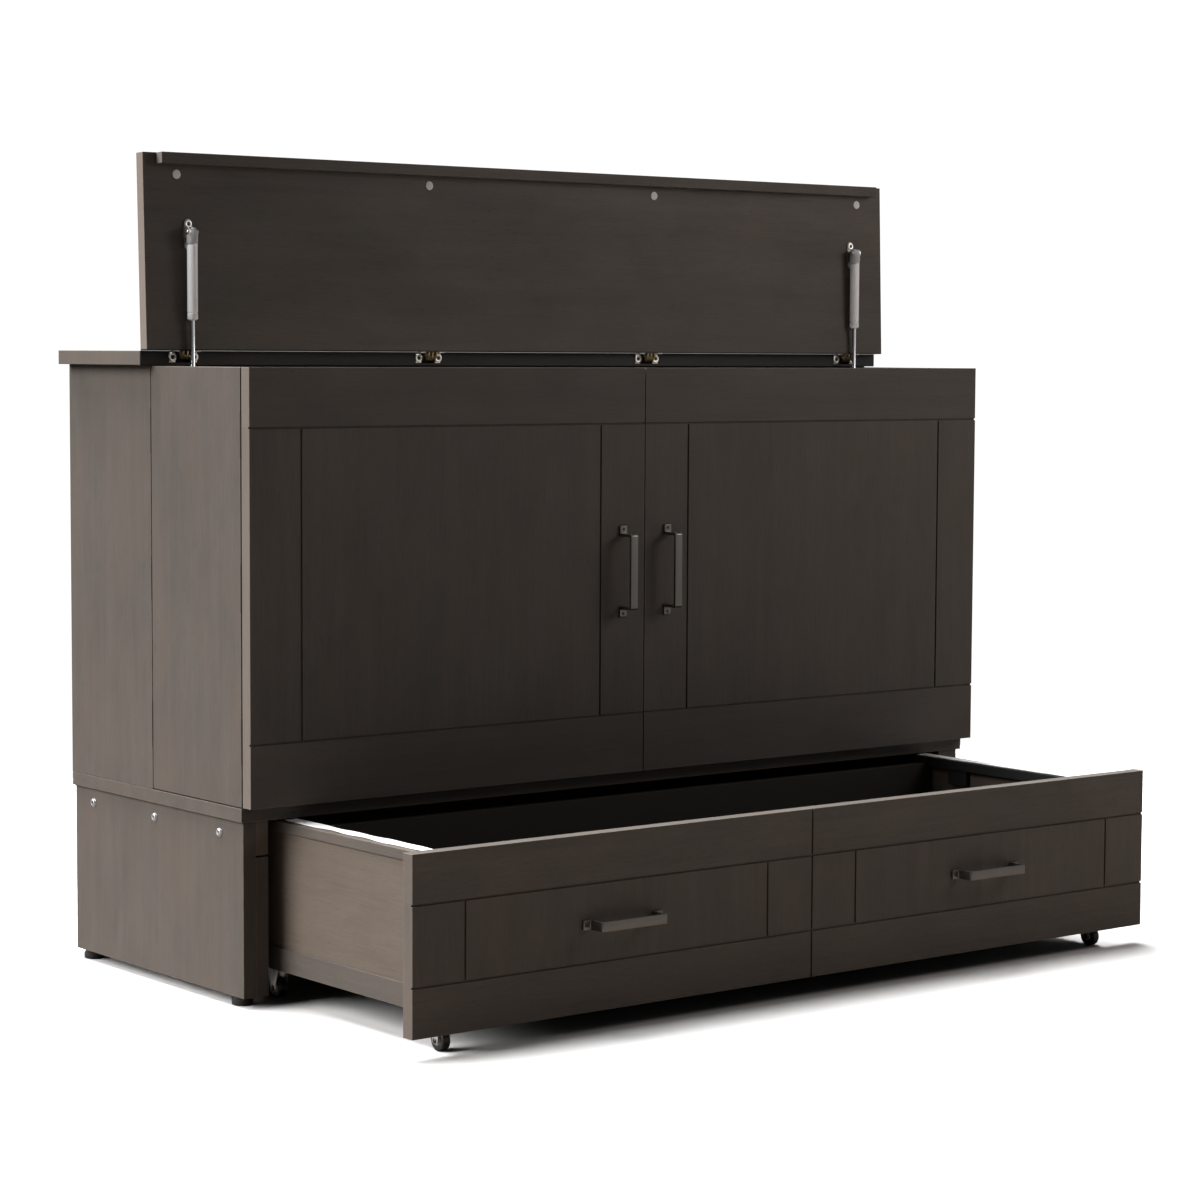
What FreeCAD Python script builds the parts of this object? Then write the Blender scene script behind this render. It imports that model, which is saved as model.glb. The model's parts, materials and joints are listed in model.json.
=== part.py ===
import FreeCAD, Part
import os
import re

# Folding cabinet bed: a low cabinet whose lid, doors and side wings open, with a wide drawer on
# casters under its deck. Millimetres, +Z up, floor at Z = 0, X = 0 on the middle plane.
# Inside the formulas Y = 0 is the front face of the closed doors and +Y runs to the back; each
# sub-part's Placement then carries it to the origin, below the middle of the bed's box at rest.
# At rest the lid stands open, the drawer is out and the doors are closed.

doc = FreeCAD.newDocument("CabinetBed")
sheet = doc.addObject("Spreadsheet::Sheet", "Dims")

# ---------------------------------------------------------------- driving dimensions
drivingSizes = [
    # cabinet
    ("bedWidth", 1626), ("bedDepth", 592), ("deckTop", 331), ("deckThick", 23),
    ("sideThick", 24), ("backThick", 6), ("foldLine", 312), ("foldGap", 2.4), ("panelGap", 1.8),
    # doors
    ("doorHeight", 711.7), ("doorThick", 24), ("doorMeet", 1.2), ("doorEdge", 0.5), ("doorBack", 3),
    ("deckSet", 0.5),
    ("grooveWide", 3.5), ("grooveDeep", 3), ("railTop", 97.4), ("railBottom", 103.6), ("stileWide", 98.5),
    # top and lid
    ("topThick", 24), ("topOverhang", 21), ("lidJointSet", 4.6), ("lidThick", 21.5),
    ("lidOverhang", 20.6), ("lidGap", 1.5), ("lidTilt", 1.83), ("lidJointGap", 0.6),
    ("lipInset", 26), ("lipDrop", 18.4), ("lipGap", 1.6),
    ("bumperRadius", 8), ("bumperThick", 1.2), ("bumperSet", 35), ("bumperNear", 256),
    ("bumperInset", 43),
    ("hingeNear", 250), ("hingeInset", 61), ("linkClear", 2), ("linkInner", 4), ("linkSweep", 62),
    ("linkThick", 3.4), ("linkPitch", 4), ("mortiseWide", 30), ("mortiseDeep", 18),
    ("earWide", 12), ("earThick", 1.2), ("hingeSkin", 1.4),
    # gas struts
    ("strutInset", 62), ("strutArm", 197), ("strutStand", 15), ("strutLength", 300),
    ("tubeRadius", 9), ("tubeLength", 133), ("tubeStart", 14), ("rodRadius", 4), ("rodPlay", 0.05),
    ("rodInside", 9), ("tubeEnd", 3), ("neckSet", 0.4), ("neckLong", 10), ("eyeRadius", 8),
    ("eyeThick", 10), ("studRadius", 3.5), ("studGap", 0.6),
    ("studLong", 8), ("studProud", 1.5), ("cheekPlay", 1),
    ("bracketThick", 3), ("bracketWide", 26), ("bracketLong", 62), ("bracketSet", 6),
    # base
    ("baseInset", 6.5), ("baseFront", 33), ("baseBackThick", 24), ("footHeight", 17), ("footRadius", 18),
    ("footSet", 22), ("footEdge", 4),
    ("postWide", 23.5), ("postDeep", 24), ("blockHigh", 57), ("blockDeep", 60), ("blockGap", 3),
    ("boltRadius", 7.5), ("boltThick", 4), ("boltDrop", 25), ("boltFirst", 106), ("boltLast", 65),
    ("stopHigh", 149), ("stopLong", 9),
    # drawer
    ("drawerOut", 450), ("drawerClosed", 1.5), ("drawerFrontThick", 24.5), ("drawerFrontBottom", 35),
    ("drawerFrontDrop", 13), ("drawerRail", 78.5), ("drawerStile", 98), ("drawerSet", 74.5),
    ("drawerSideThick", 16), ("drawerBottomEdge", 55), ("drawerHeadroom", 5),
    ("drawerBackRoom", 10), ("tailLong", 103), ("drawerBackDrop", 11.5), ("drawerFloorThick", 9),
    ("topRailHigh", 17), ("lowRailHigh", 39), ("railProud", 4),
    ("ledgerWide", 14), ("ledgerHigh", 18), ("blockWide", 48), ("blockTall", 28), ("blockDepth", 12),
    ("blockRear", 55), ("blockFront", 83),
    ("feltThick", 3.5), ("feltWide", 26), ("feltFront", 22), ("feltOver", 32), ("feltEdge", 4),
    # pulls
    ("pullLong", 160), ("pullWide", 15), ("pullStrap", 5), ("pullReach", 35), ("pullTab", 13.5),
    ("pullTabThick", 4), ("doorPullSide", 50), ("pullDrop", 1.5),
    # casters
    ("wheelRadius", 17), ("wheelWide", 15), ("axleRadius", 3), ("axlePlay", 0.06), ("forkThick", 2.5),
    ("forkGap", 1.5), ("forkLong", 34), ("forkEnd", 5), ("axleProud", 1), ("casterFrontIn", 10),
    ("casterRearIn", 25),
    ("casterFrontSet", 21), ("casterRearSet", 23),
    # folded bed
    ("sleepInset", 17), ("platformThick", 18), ("platformRoom", 46.2), ("platformFoot", 4.8),
    ("platformInner", 78), ("platformOuter", 56), ("pinRadius", 3), ("pinInset", 40),
    ("pinSet", 0.6), ("pinRise", 2.3),
    ("legRadius", 9), ("legLong", 300), ("legSpan", 420), ("legInset", 334),
    ("legTop", 68.8),
    ("mattressFront", 35), ("mattressRoom", 38), ("mattressGap", 1.5), ("mattressBack", 2),
    ("leafThick", 0.8), ("leafInset", 3), ("leafHigh", 76), ("leafEnd", 70), ("leafPlay", 0.4),
    ("foldKnuckle", 1.05), ("doorKnuckle", 1.3),
]
driving = {}
for row, (alias, number) in enumerate(drivingSizes, start=1):
    sheet.set("A%d" % row, alias)
    sheet.set("B%d" % row, str(number))
    sheet.setAlias("B%d" % row, alias)
    driving[alias] = number
doc.recompute()

# ---------------------------------------------------------------- lengths that follow from them
derived = {
    "half": "bedWidth / 2",
    "innerHalf": "half - sideThick",
    "deckFront": "doorThick + doorBack + deckSet",
    "deckUnder": "deckTop - deckThick",
    "panelBottom": "deckTop + panelGap",
    "panelTop": "panelBottom + doorHeight",
    "topUnder": "panelTop + lidGap",
    "topFace": "topUnder + topThick",
    "topHalf": "half + topOverhang",
    "lidJoint": "foldLine - lidJointSet",
    "lidLength": "lidJoint + lidOverhang",
    "bumperArm": "lidLength - bumperSet",
    "bumperFar": "half - bumperInset",
    "hingeFar": "half - hingeInset",
    "mortiseHigh": "lidThick - 2.5 * hingeSkin",
    "linkOuter": "mortiseHigh - linkClear",
    "wingFront": "doorThick + doorBack",
    "baseHalf": "half - baseInset",
    "baseInner": "baseHalf - sideThick",
    "boltStep": "(bedDepth - boltFirst - boltLast) / 2",
    "postInner": "baseInner - postWide",
    "drawerFace": "drawerClosed - drawerOut",
    "drawerFrontRear": "drawerFace + drawerFrontThick",
    "drawerHalf": "baseHalf - drawerSet",
    "drawerInner": "drawerHalf - drawerSideThick",
    "drawerFrontTop": "deckTop - drawerFrontDrop",
    "drawerSideTop": "deckUnder - drawerHeadroom",
    "drawerTail": "bedDepth - baseBackThick - drawerBackRoom - drawerOut",
    "drawerBackFace": "drawerTail - tailLong",
    "drawerPullSide": "baseHalf / 2",
    "drawerPullHigh": "(drawerFrontBottom + drawerFrontTop) / 2 - pullDrop",
    "casterFrontSide": "drawerHalf - casterFrontIn",
    "casterRearSide": "drawerHalf - casterRearIn",
    "lipWide": "lidLength - lidJoint - lipGap",
    "strutSide": "half - strutInset",
    "strutOffset": "lidThick + strutStand",
    "strutTopY": "lidJoint - strutOffset * cos(lidTilt) + strutArm * sin(lidTilt)",
    "strutTopZ": "topFace + strutOffset * sin(lidTilt) + strutArm * cos(lidTilt)",
    "strutFootZ": "strutTopZ - strutLength",
    "tubeFoot": "tubeStart + tubeLength",
    "neckRadius": "eyeThick / 2 - neckSet",
    "armNear": "strutSide + eyeThick / 2 + studGap + studLong",
    "sleepHalf": "strutSide - sleepInset",
    "platformHigh": "topUnder - deckTop - platformFoot - platformRoom",
    "legSide": "sleepHalf - legInset",
    "legFoot": "deckTop + platformFoot + platformHigh - legLong - legTop",
    "mattressRear": "bedDepth - backThick - mattressBack",
    "mattressRoomDeep": "mattressRear - platformInner - platformThick - mattressFront",
    "mattressThick": "(mattressRoomDeep - 2 * mattressGap) / 3",
    "mattressHigh": "topUnder - deckTop - mattressRoom",
    "leafLow": "panelBottom + leafEnd",
    "leafMiddle": "(panelBottom + panelTop - leafHigh) / 2",
    "leafTop": "panelTop - leafEnd - leafHigh",
    "originY": "(bedDepth + drawerFace - pullReach) / 2",
}


def formula(text):
    """Turns the plain words of a formula into references to the sheet's cells."""
    def word(match):
        name = match.group(0)
        if name in derived:
            return "(" + formula(derived[name]) + ")"
        if name in driving:
            return "Dims." + name
        return name
    return re.sub(r"[A-Za-z_]\w*", word, text)


def bind(item, prop, text):
    item.setExpression(prop, formula(text))


def add(kind, name):
    return doc.addObject(kind, name)


# ---------------------------------------------------------------- building blocks
def box(size, at):
    piece = add("Part::Box", "Board")
    for prop, text in zip(("Length", "Width", "Height"), size):
        bind(piece, prop, text)
    for side, text in zip("xyz", at):
        bind(piece, "Placement.Base." + side, text)
    return piece


turns = {
    "x": FreeCAD.Rotation(FreeCAD.Vector(0, 1, 0), 90),
    "y": FreeCAD.Rotation(FreeCAD.Vector(1, 0, 0), -90),
    "z": FreeCAD.Rotation(),
}


def rod(radius, length, at, along, sweep=None, turn=None):
    """A cylinder from the point at, running in the positive direction of one axis."""
    piece = add("Part::Cylinder", "Rod")
    piece.Placement = FreeCAD.Placement(FreeCAD.Vector(), turn or turns[along])
    bind(piece, "Radius", radius)
    bind(piece, "Height", length)
    if sweep:
        bind(piece, "Angle", sweep)
    for side, text in zip("xyz", at):
        bind(piece, "Placement.Base." + side, text)
    return piece


def group(pieces):
    holder = add("Part::Compound", "Group")
    holder.Links = pieces
    return holder


def cut(base, tools):
    result = add("Part::Cut", "Cut")
    result.Base = base
    result.Tool = tools[0] if len(tools) == 1 else group(tools)
    return result


def fuse(pieces):
    result = add("Part::MultiFuse", "Fuse")
    result.Shapes = pieces
    return result


subParts = []


def subPart(label, pieces, onLid=False):
    """One named piece of the bed; what rides on the lid is drawn from the lid's own hinge line."""
    holder = group(pieces)
    holder.Label = label
    if onLid:
        tilt = FreeCAD.Rotation(FreeCAD.Vector(-1, 0, 0), driving["lidTilt"])
        holder.Placement = FreeCAD.Placement(FreeCAD.Vector(), tilt)
        bind(holder, "Placement.Rotation.Angle", "lidTilt")
        bind(holder, "Placement.Base.y", "lidJoint - originY")
        bind(holder, "Placement.Base.z", "topFace")
    else:
        bind(holder, "Placement.Base.y", "0 - originY")
    subParts.append(holder)


hands = (("left", -1), ("right", 1))


def acrossFrom(hand, near, wide):
    """Low X of a piece that lies from near to near + wide on one hand of the middle plane."""
    return near if hand > 0 else "0 - (%s) - (%s)" % (near, wide)


def signed(hand, text):
    return text if hand > 0 else "0 - (%s)" % text


# ---------------------------------------------------------------- base and deck
subPart("deck_board", [box(("bedWidth", "bedDepth - deckFront", "deckThick"),
                           ("0 - half", "deckFront", "deckUnder"))])

for handName, hand in hands:
    subPart("base_side_" + handName, [
        box(("sideThick", "bedDepth - baseFront", "deckUnder - footHeight"),
            (acrossFrom(hand, "baseInner", "sideThick"), "baseFront", "footHeight"))])

subPart("base_back", [box(("2 * baseInner", "baseBackThick", "deckUnder - footHeight"),
                          ("0 - baseInner", "bedDepth - baseBackThick", "footHeight"))])

posts = []
blocks = []
for handName, hand in hands:
    postX = acrossFrom(hand, "postInner", "postWide")
    posts.append(box(("postWide", "postDeep", "deckUnder - blockHigh - blockGap - footHeight"),
                     (postX, "baseFront", "footHeight")))
    blocks.append(box(("postWide", "blockDeep", "blockHigh"),
                      (postX, "baseFront", "deckUnder - blockHigh")))
subPart("base_posts", posts)
subPart("base_top_blocks", blocks)

feet = []
rearFootY = "bedDepth - footRadius - footEdge"
for footY in ("baseFront + footRadius + footSet", rearFootY):
    for handName, hand in hands:
        feet.append(rod("footRadius", "footHeight",
                        (signed(hand, "baseHalf - footRadius - footEdge"), footY, "0"), "z"))
feet.append(rod("footRadius", "footHeight", ("0", rearFootY, "0"), "z"))
subPart("base_feet", feet)

bolts = []
for handName, hand in hands:
    boltX = acrossFrom(hand, "baseHalf", "boltThick")
    for step in range(3):
        bolts.append(rod("boltRadius", "boltThick",
                         (boltX, "boltFirst + %d * boltStep" % step, "deckUnder - boltDrop"), "x"))
    stopX = acrossFrom(hand, "postInner - stopLong", "stopLong")
    bolts.append(rod("boltRadius", "stopLong", (stopX, "baseFront + postDeep / 2", "stopHigh"), "x"))
subPart("base_bolts", bolts)

# ---------------------------------------------------------------- upper cabinet
for handName, hand in hands:
    subPart("rear_side_" + handName, [
        box(("sideThick", "bedDepth - foldLine", "topUnder - deckTop"),
            (acrossFrom(hand, "innerHalf", "sideThick"), "foldLine", "deckTop"))])

subPart("back_panel", [box(("2 * innerHalf", "backThick", "topUnder - deckTop"),
                           ("0 - innerHalf", "bedDepth - backThick", "deckTop"))])

hingeSpots = ("0 - hingeFar", "0 - hingeNear", "hingeNear", "hingeFar")
pockets = []
for spot in hingeSpots:
    pockets.append(box(("mortiseWide", "mortiseDeep + 1", "mortiseHigh"),
                       (spot + " - mortiseWide / 2", "lidJoint - 1", "topFace - mortiseHigh - hingeSkin")))
    pockets.append(box(("mortiseWide + 2 * earWide", "earThick + 1", "mortiseHigh"),
                       (spot + " - mortiseWide / 2 - earWide", "lidJoint - 1",
                        "topFace - mortiseHigh - hingeSkin")))
topBoard = box(("2 * topHalf", "bedDepth - lidJoint", "topThick"),
               ("0 - topHalf", "lidJoint", "topUnder"))
subPart("rear_top", [cut(topBoard, pockets)])


def hingeLinks(slots, startTurn, axisY, axisZ):
    """Curved links of the four concealed lid hinges, as slices of a ring round the hinge line."""
    links = []
    for spot in hingeSpots:
        for slot in slots:
            linkX = "%s + %d * linkPitch - linkThick / 2" % (spot, slot)
            outer = rod("linkOuter", "linkThick", (linkX, axisY, axisZ), "x", "linkSweep", startTurn)
            hollow = rod("linkInner", "linkThick + 2", (linkX + " - 1", axisY, axisZ), "x")
            links.append(cut(outer, [hollow]))
    return links


def ears(size, at):
    """The two screw ears of each hinge leaf, either side of its links."""
    plates = []
    for spot in hingeSpots:
        for side in (-1, 1):
            earX = "%s + %d * mortiseWide / 2 - %s" % (spot, side, "earWide" if side < 0 else "0")
            plates.append(box(size, (earX,) + at))
    return plates


# a cylinder laid along X starts its sweep at -Z and turns from there towards +Y
ringFromDown = turns["x"]
ringFromFront = FreeCAD.Rotation(FreeCAD.Vector(1, 0, 0), -driving["linkSweep"]).multiply(turns["x"])
fixedEars = ears(("earWide", "earThick", "mortiseHigh"), ("lidJoint", "topFace - mortiseHigh - hingeSkin"))
subPart("top_hinge_links", hingeLinks((-1, 1), ringFromFront, "lidJoint", "topFace") + fixedEars)


def hingeLeaves(hand, face, line, knuckle, middle):
    """The three leaves on one side of a long joint, with their knuckles round the hinge line."""
    leaves = []
    for leafZ in ("leafLow", "leafMiddle", "leafTop"):
        plate = box(("sideThick - leafInset - %s - leafPlay" % knuckle, "leafThick", "leafHigh"),
                    (acrossFrom(hand, "innerHalf + leafInset",
                                "sideThick - leafInset - %s - leafPlay" % knuckle), face, leafZ))
        parts = [plate]
        spans = [("leafHigh / 3 + leafPlay", "leafHigh / 3 - 2 * leafPlay")] if middle else [
            ("0", "leafHigh / 3"), ("2 * leafHigh / 3", "leafHigh / 3")]
        for start, long in spans:
            low = "%s + %s" % (leafZ, start)
            parts.append(box(("%s + 2 * leafPlay" % knuckle, "leafThick", long),
                             (acrossFrom(hand, "half - %s - 2 * leafPlay" % knuckle,
                                         "%s + 2 * leafPlay" % knuckle), face, low)))
            parts.append(rod(knuckle, long, (signed(hand, "half"), line, low), "z"))
        leaves.append(fuse(parts))
    return leaves


foldAxis = "foldLine - foldGap / 2"
doorAxis = "doorThick + doorBack / 2"
rearLeaves = []
for handName, hand in hands:
    rearLeaves += hingeLeaves(hand, "foldLine - leafThick", foldAxis, "foldKnuckle", False)
subPart("wing_hinge_plates", rearLeaves)

# ---------------------------------------------------------------- wings and doors
wingDeep = "foldLine - foldGap - wingFront"
for handName, hand in hands:
    subPart("side_wing_" + handName, [
        box(("sideThick", wingDeep, "doorHeight"),
            (acrossFrom(hand, "innerHalf", "sideThick"), "wingFront", "panelBottom"))])
    foldLeaves = hingeLeaves(hand, "foldLine - foldGap", foldAxis, "foldKnuckle", True)
    endLeaves = hingeLeaves(hand, "wingFront - leafThick", doorAxis, "doorKnuckle", False)
    subPart("wing_hinges_" + handName, foldLeaves + endLeaves)
    subPart("door_hinges_" + handName, hingeLeaves(hand, "doorThick", doorAxis, "doorKnuckle", True))


def grooveAcross(x, wide, face, z):
    return box((wide, "grooveDeep + 1", "grooveWide"), (x, face + " - 1", z + " - grooveWide / 2"))


def grooveUp(x, face, low, high):
    return box(("grooveWide", "grooveDeep + 1", "%s - (%s)" % (high, low)),
               (x + " - grooveWide / 2", face + " - 1", low))


doorWide = "half - doorEdge - doorMeet"
for handName, hand in hands:
    doorX = acrossFrom(hand, "doorMeet", doorWide)
    panel = box((doorWide, "doorThick", "doorHeight"), (doorX, "0", "panelBottom"))
    lowRail = "panelBottom + railBottom"
    highRail = "panelTop - railTop"
    grooves = [grooveAcross(doorX + " - 1", doorWide + " + 2", "0", lowRail),
               grooveAcross(doorX + " - 1", doorWide + " + 2", "0", highRail)]
    for stile in ("stileWide", "half - stileWide"):
        grooves.append(grooveUp(signed(hand, stile), "0", lowRail, highRail))
    subPart("door_" + handName, [cut(panel, grooves)])


def pull(label, face, centre, upright):
    """A bent flat-bar pull: two screw tabs, two legs and the bar that the fingers go behind."""
    centreX, centreZ = centre
    legPlace = "(pullLong / 2 - pullTab)"

    def stretch(low, high, near, far):
        size = "%s - (%s)" % (high, low)
        y = "%s - (%s)" % (face, far)
        deep = "%s - (%s)" % (far, near)
        if upright:
            return box(("pullWide", deep, size),
                       (centreX + " - pullWide / 2", y, "%s + %s" % (centreZ, low)))
        return box((size, deep, "pullWide"), ("%s + %s" % (centreX, low), y, centreZ + " - pullWide / 2"))

    bar = stretch("(0 - %s)" % legPlace, legPlace, "pullReach - pullStrap", "pullReach")
    legs = [stretch("(0 - %s)" % legPlace, "pullStrap - %s" % legPlace, "0", "pullReach"),
            stretch("(%s - pullStrap)" % legPlace, legPlace, "0", "pullReach")]
    tabs = [stretch("(0 - pullLong / 2)", "pullStrap - %s" % legPlace, "0", "pullTabThick"),
            stretch("(%s - pullStrap)" % legPlace, "pullLong / 2", "0", "pullTabThick")]
    subPart(label, [fuse([bar] + legs + tabs)])


for handName, hand in hands:
    pull("door_pull_" + handName, "0",
         (signed(hand, "doorPullSide"), "(panelBottom + panelTop) / 2"), True)

# ---------------------------------------------------------------- lid, drawn from its hinge line
lidPockets = []
for spot in hingeSpots:
    lidPockets.append(box(("mortiseWide", "mortiseHigh", "mortiseDeep + 1"),
                          (spot + " - mortiseWide / 2", "0 - mortiseHigh - hingeSkin", "lidJointGap - 1")))
    lidPockets.append(box(("mortiseWide + 2 * earWide", "mortiseHigh", "earThick + 1"),
                          (spot + " - mortiseWide / 2 - earWide", "0 - mortiseHigh - hingeSkin",
                           "lidJointGap - 1")))
lidBoard = box(("2 * topHalf", "lidThick", "lidLength - lidJointGap"),
               ("0 - topHalf", "0 - lidThick", "lidJointGap"))
subPart("lid_panel", [cut(lidBoard, lidPockets)], onLid=True)
subPart("lid_lip", [box(("2 * (topHalf - lipInset)", "lipDrop", "lipWide"),
                        ("lipInset - topHalf", "0 - lidThick - lipDrop", "lidLength - lipWide"))], onLid=True)
bumperSpots = ("0 - bumperFar", "0 - bumperNear", "bumperNear", "bumperFar")
subPart("lid_bumpers", [rod("bumperRadius", "bumperThick",
                            (spot, "0 - lidThick - bumperThick", "bumperArm"), "y")
                        for spot in bumperSpots], onLid=True)
lidEars = ears(("earWide", "mortiseHigh", "earThick"), ("0 - mortiseHigh - hingeSkin", "lidJointGap"))
ringFromEdge = FreeCAD.Rotation(FreeCAD.Vector(1, 0, 0), -90).multiply(turns["x"])
subPart("lid_hinge_links", hingeLinks((-2, 0, 2), ringFromEdge, "0", "0") + lidEars, onLid=True)

upperBrackets = []
for handName, hand in hands:
    plateX = signed(hand, "strutSide") + " - bracketWide / 2"
    plate = box(("bracketWide", "bracketThick", "bracketLong"),
                (plateX, "0 - lidThick - bracketThick", "strutArm - bracketLong / 2"))
    cheekX = acrossFrom(hand, "strutSide + eyeThick / 2 + cheekPlay", "bracketThick")
    cheek = box(("bracketThick", "strutStand + eyeRadius / 2", "2 * eyeRadius"),
                (cheekX, "0 - lidThick - strutStand - eyeRadius / 2", "strutArm - eyeRadius"))
    studX = acrossFrom(hand, "strutSide - eyeThick / 2 - studProud", "eyeThick + 2 * studProud")
    stud = rod("studRadius", "eyeThick + 2 * studProud", (studX, "0 - strutOffset", "strutArm"), "x")
    upperBrackets.append(fuse([plate, cheek, stud]))
subPart("strut_upper_brackets", upperBrackets, onLid=True)

# ---------------------------------------------------------------- gas struts
lowerBrackets = []
for handName, hand in hands:
    eyeX = acrossFrom(hand, "strutSide - eyeThick / 2", "eyeThick")
    strutX = signed(hand, "strutSide")
    head = fuse([rod("eyeRadius", "eyeThick", (eyeX, "strutTopY", "strutTopZ"), "x"),
                 rod("neckRadius", "tubeStart", (strutX, "strutTopY", "strutTopZ - tubeStart"), "z"),
                 rod("tubeRadius", "tubeLength", (strutX, "strutTopY", "strutTopZ - tubeFoot"), "z")])
    bore = rod("rodRadius + rodPlay", "tubeLength - tubeEnd + 1",
               (strutX, "strutTopY", "strutTopZ - tubeFoot - 1"), "z")
    pinHole = rod("studRadius + rodPlay", "eyeThick + 2",
                  (acrossFrom(hand, "strutSide - eyeThick / 2 - 1", "eyeThick + 2"), "strutTopY",
                   "strutTopZ"), "x")
    subPart("strut_tube_" + handName, [cut(head, [bore, pinHole])])

    rodLength = "strutLength - tubeFoot + rodInside"
    stem = fuse([rod("rodRadius", rodLength, (strutX, "strutTopY", "strutFootZ"), "z"),
                 rod("neckRadius", "neckLong", (strutX, "strutTopY", "strutFootZ"), "z"),
                 rod("eyeRadius", "eyeThick", (eyeX, "strutTopY", "strutFootZ"), "x")])
    subPart("strut_rod_" + handName, [stem])

    # the bracket reaches forward from the rear side, clear of the wing, and its stud stops short
    # of the rod's eye, because this is the pivot at which the linkage is opened
    foot = box(("innerHalf - armNear", "bracketWide", "bracketLong"),
               (acrossFrom(hand, "armNear", "innerHalf - armNear"), "foldLine + bracketSet",
                "strutFootZ - bracketLong / 2"))
    arm = box(("bracketThick", "foldLine + bracketSet + bracketWide - strutTopY + eyeRadius",
               "bracketWide"),
              (acrossFrom(hand, "armNear", "bracketThick"), "strutTopY - eyeRadius",
               "strutFootZ - bracketWide / 2"))
    studX = acrossFrom(hand, "strutSide + eyeThick / 2 + studGap", "studLong")
    stud = rod("studRadius", "studLong", (studX, "strutTopY", "strutFootZ"), "x")
    lowerBrackets.append(fuse([foot, arm, stud]))
subPart("strut_lower_brackets", lowerBrackets)

# ---------------------------------------------------------------- drawer
frontBoard = box(("2 * baseHalf", "drawerFrontThick", "drawerFrontTop - drawerFrontBottom"),
                 ("0 - baseHalf", "drawerFace", "drawerFrontBottom"))
lowLine = "drawerFrontBottom + drawerRail"
highLine = "drawerFrontTop - drawerRail"
frontGrooves = [grooveAcross("0 - baseHalf - 1", "2 * baseHalf + 2", "drawerFace", lowLine),
                grooveAcross("0 - baseHalf - 1", "2 * baseHalf + 2", "drawerFace", highLine),
                grooveUp("0", "drawerFace", "drawerFrontBottom - 1", "drawerFrontTop + 1")]
for handName, hand in hands:
    for stile in ("drawerStile", "baseHalf - drawerStile"):
        frontGrooves.append(grooveUp(signed(hand, stile), "drawerFace", lowLine, highLine))
subPart("drawer_front", [cut(frontBoard, frontGrooves)])

sideDeep = "drawerTail - drawerFrontRear"
for handName, hand in hands:
    subPart("drawer_side_" + handName, [
        box(("drawerSideThick", sideDeep, "drawerSideTop - drawerBottomEdge"),
            (acrossFrom(hand, "drawerInner", "drawerSideThick"), "drawerFrontRear", "drawerBottomEdge"))])

feltLong = "drawerBackFace + feltOver - drawerFrontRear - feltFront"
sideRails = []
ledgers = []
feltBlocks = []
for handName, hand in hands:
    railX = acrossFrom(hand, "drawerHalf", "railProud")
    sideRails.append(box(("railProud", sideDeep, "topRailHigh"),
                         (railX, "drawerFrontRear", "drawerSideTop - topRailHigh")))
    sideRails.append(box(("railProud", sideDeep, "lowRailHigh"),
                         (railX, "drawerFrontRear", "drawerBottomEdge")))
    ledgers.append(box(("ledgerWide", "drawerBackFace - drawerFrontRear", "ledgerHigh"),
                       (acrossFrom(hand, "drawerInner - ledgerWide", "ledgerWide"), "drawerFrontRear",
                        "drawerSideTop - ledgerHigh")))
    for blockY in ("drawerBackFace - blockRear - blockWide", "drawerFrontRear + blockFront"):
        feltBlocks.append(box(("blockDepth", "blockWide", "blockTall"),
                              (acrossFrom(hand, "drawerInner - blockDepth", "blockDepth"), blockY,
                               "drawerSideTop - ledgerHigh - blockTall")))
    subPart("felt_strip_" + handName, [
        box(("feltWide", feltLong, "feltThick"),
            (acrossFrom(hand, "drawerHalf - feltEdge - feltWide", "feltWide"),
             "drawerFrontRear + feltFront", "drawerSideTop"))])
    pull("drawer_pull_" + handName, "drawerFace",
         (signed(hand, "drawerPullSide"), "drawerPullHigh"), False)
subPart("drawer_side_rails", sideRails)
subPart("drawer_ledgers", ledgers)
subPart("felt_blocks", feltBlocks)

drawerBackHigh = "drawerSideTop - drawerBackDrop - drawerBottomEdge"
subPart("drawer_back", [box(("2 * drawerInner", "drawerSideThick", drawerBackHigh),
                            ("0 - drawerInner", "drawerBackFace", "drawerBottomEdge"))])
subPart("drawer_bottom", [box(("2 * drawerInner", "drawerBackFace - drawerFrontRear", "drawerFloorThick"),
                              ("0 - drawerInner", "drawerFrontRear", "drawerBottomEdge"))])

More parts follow.
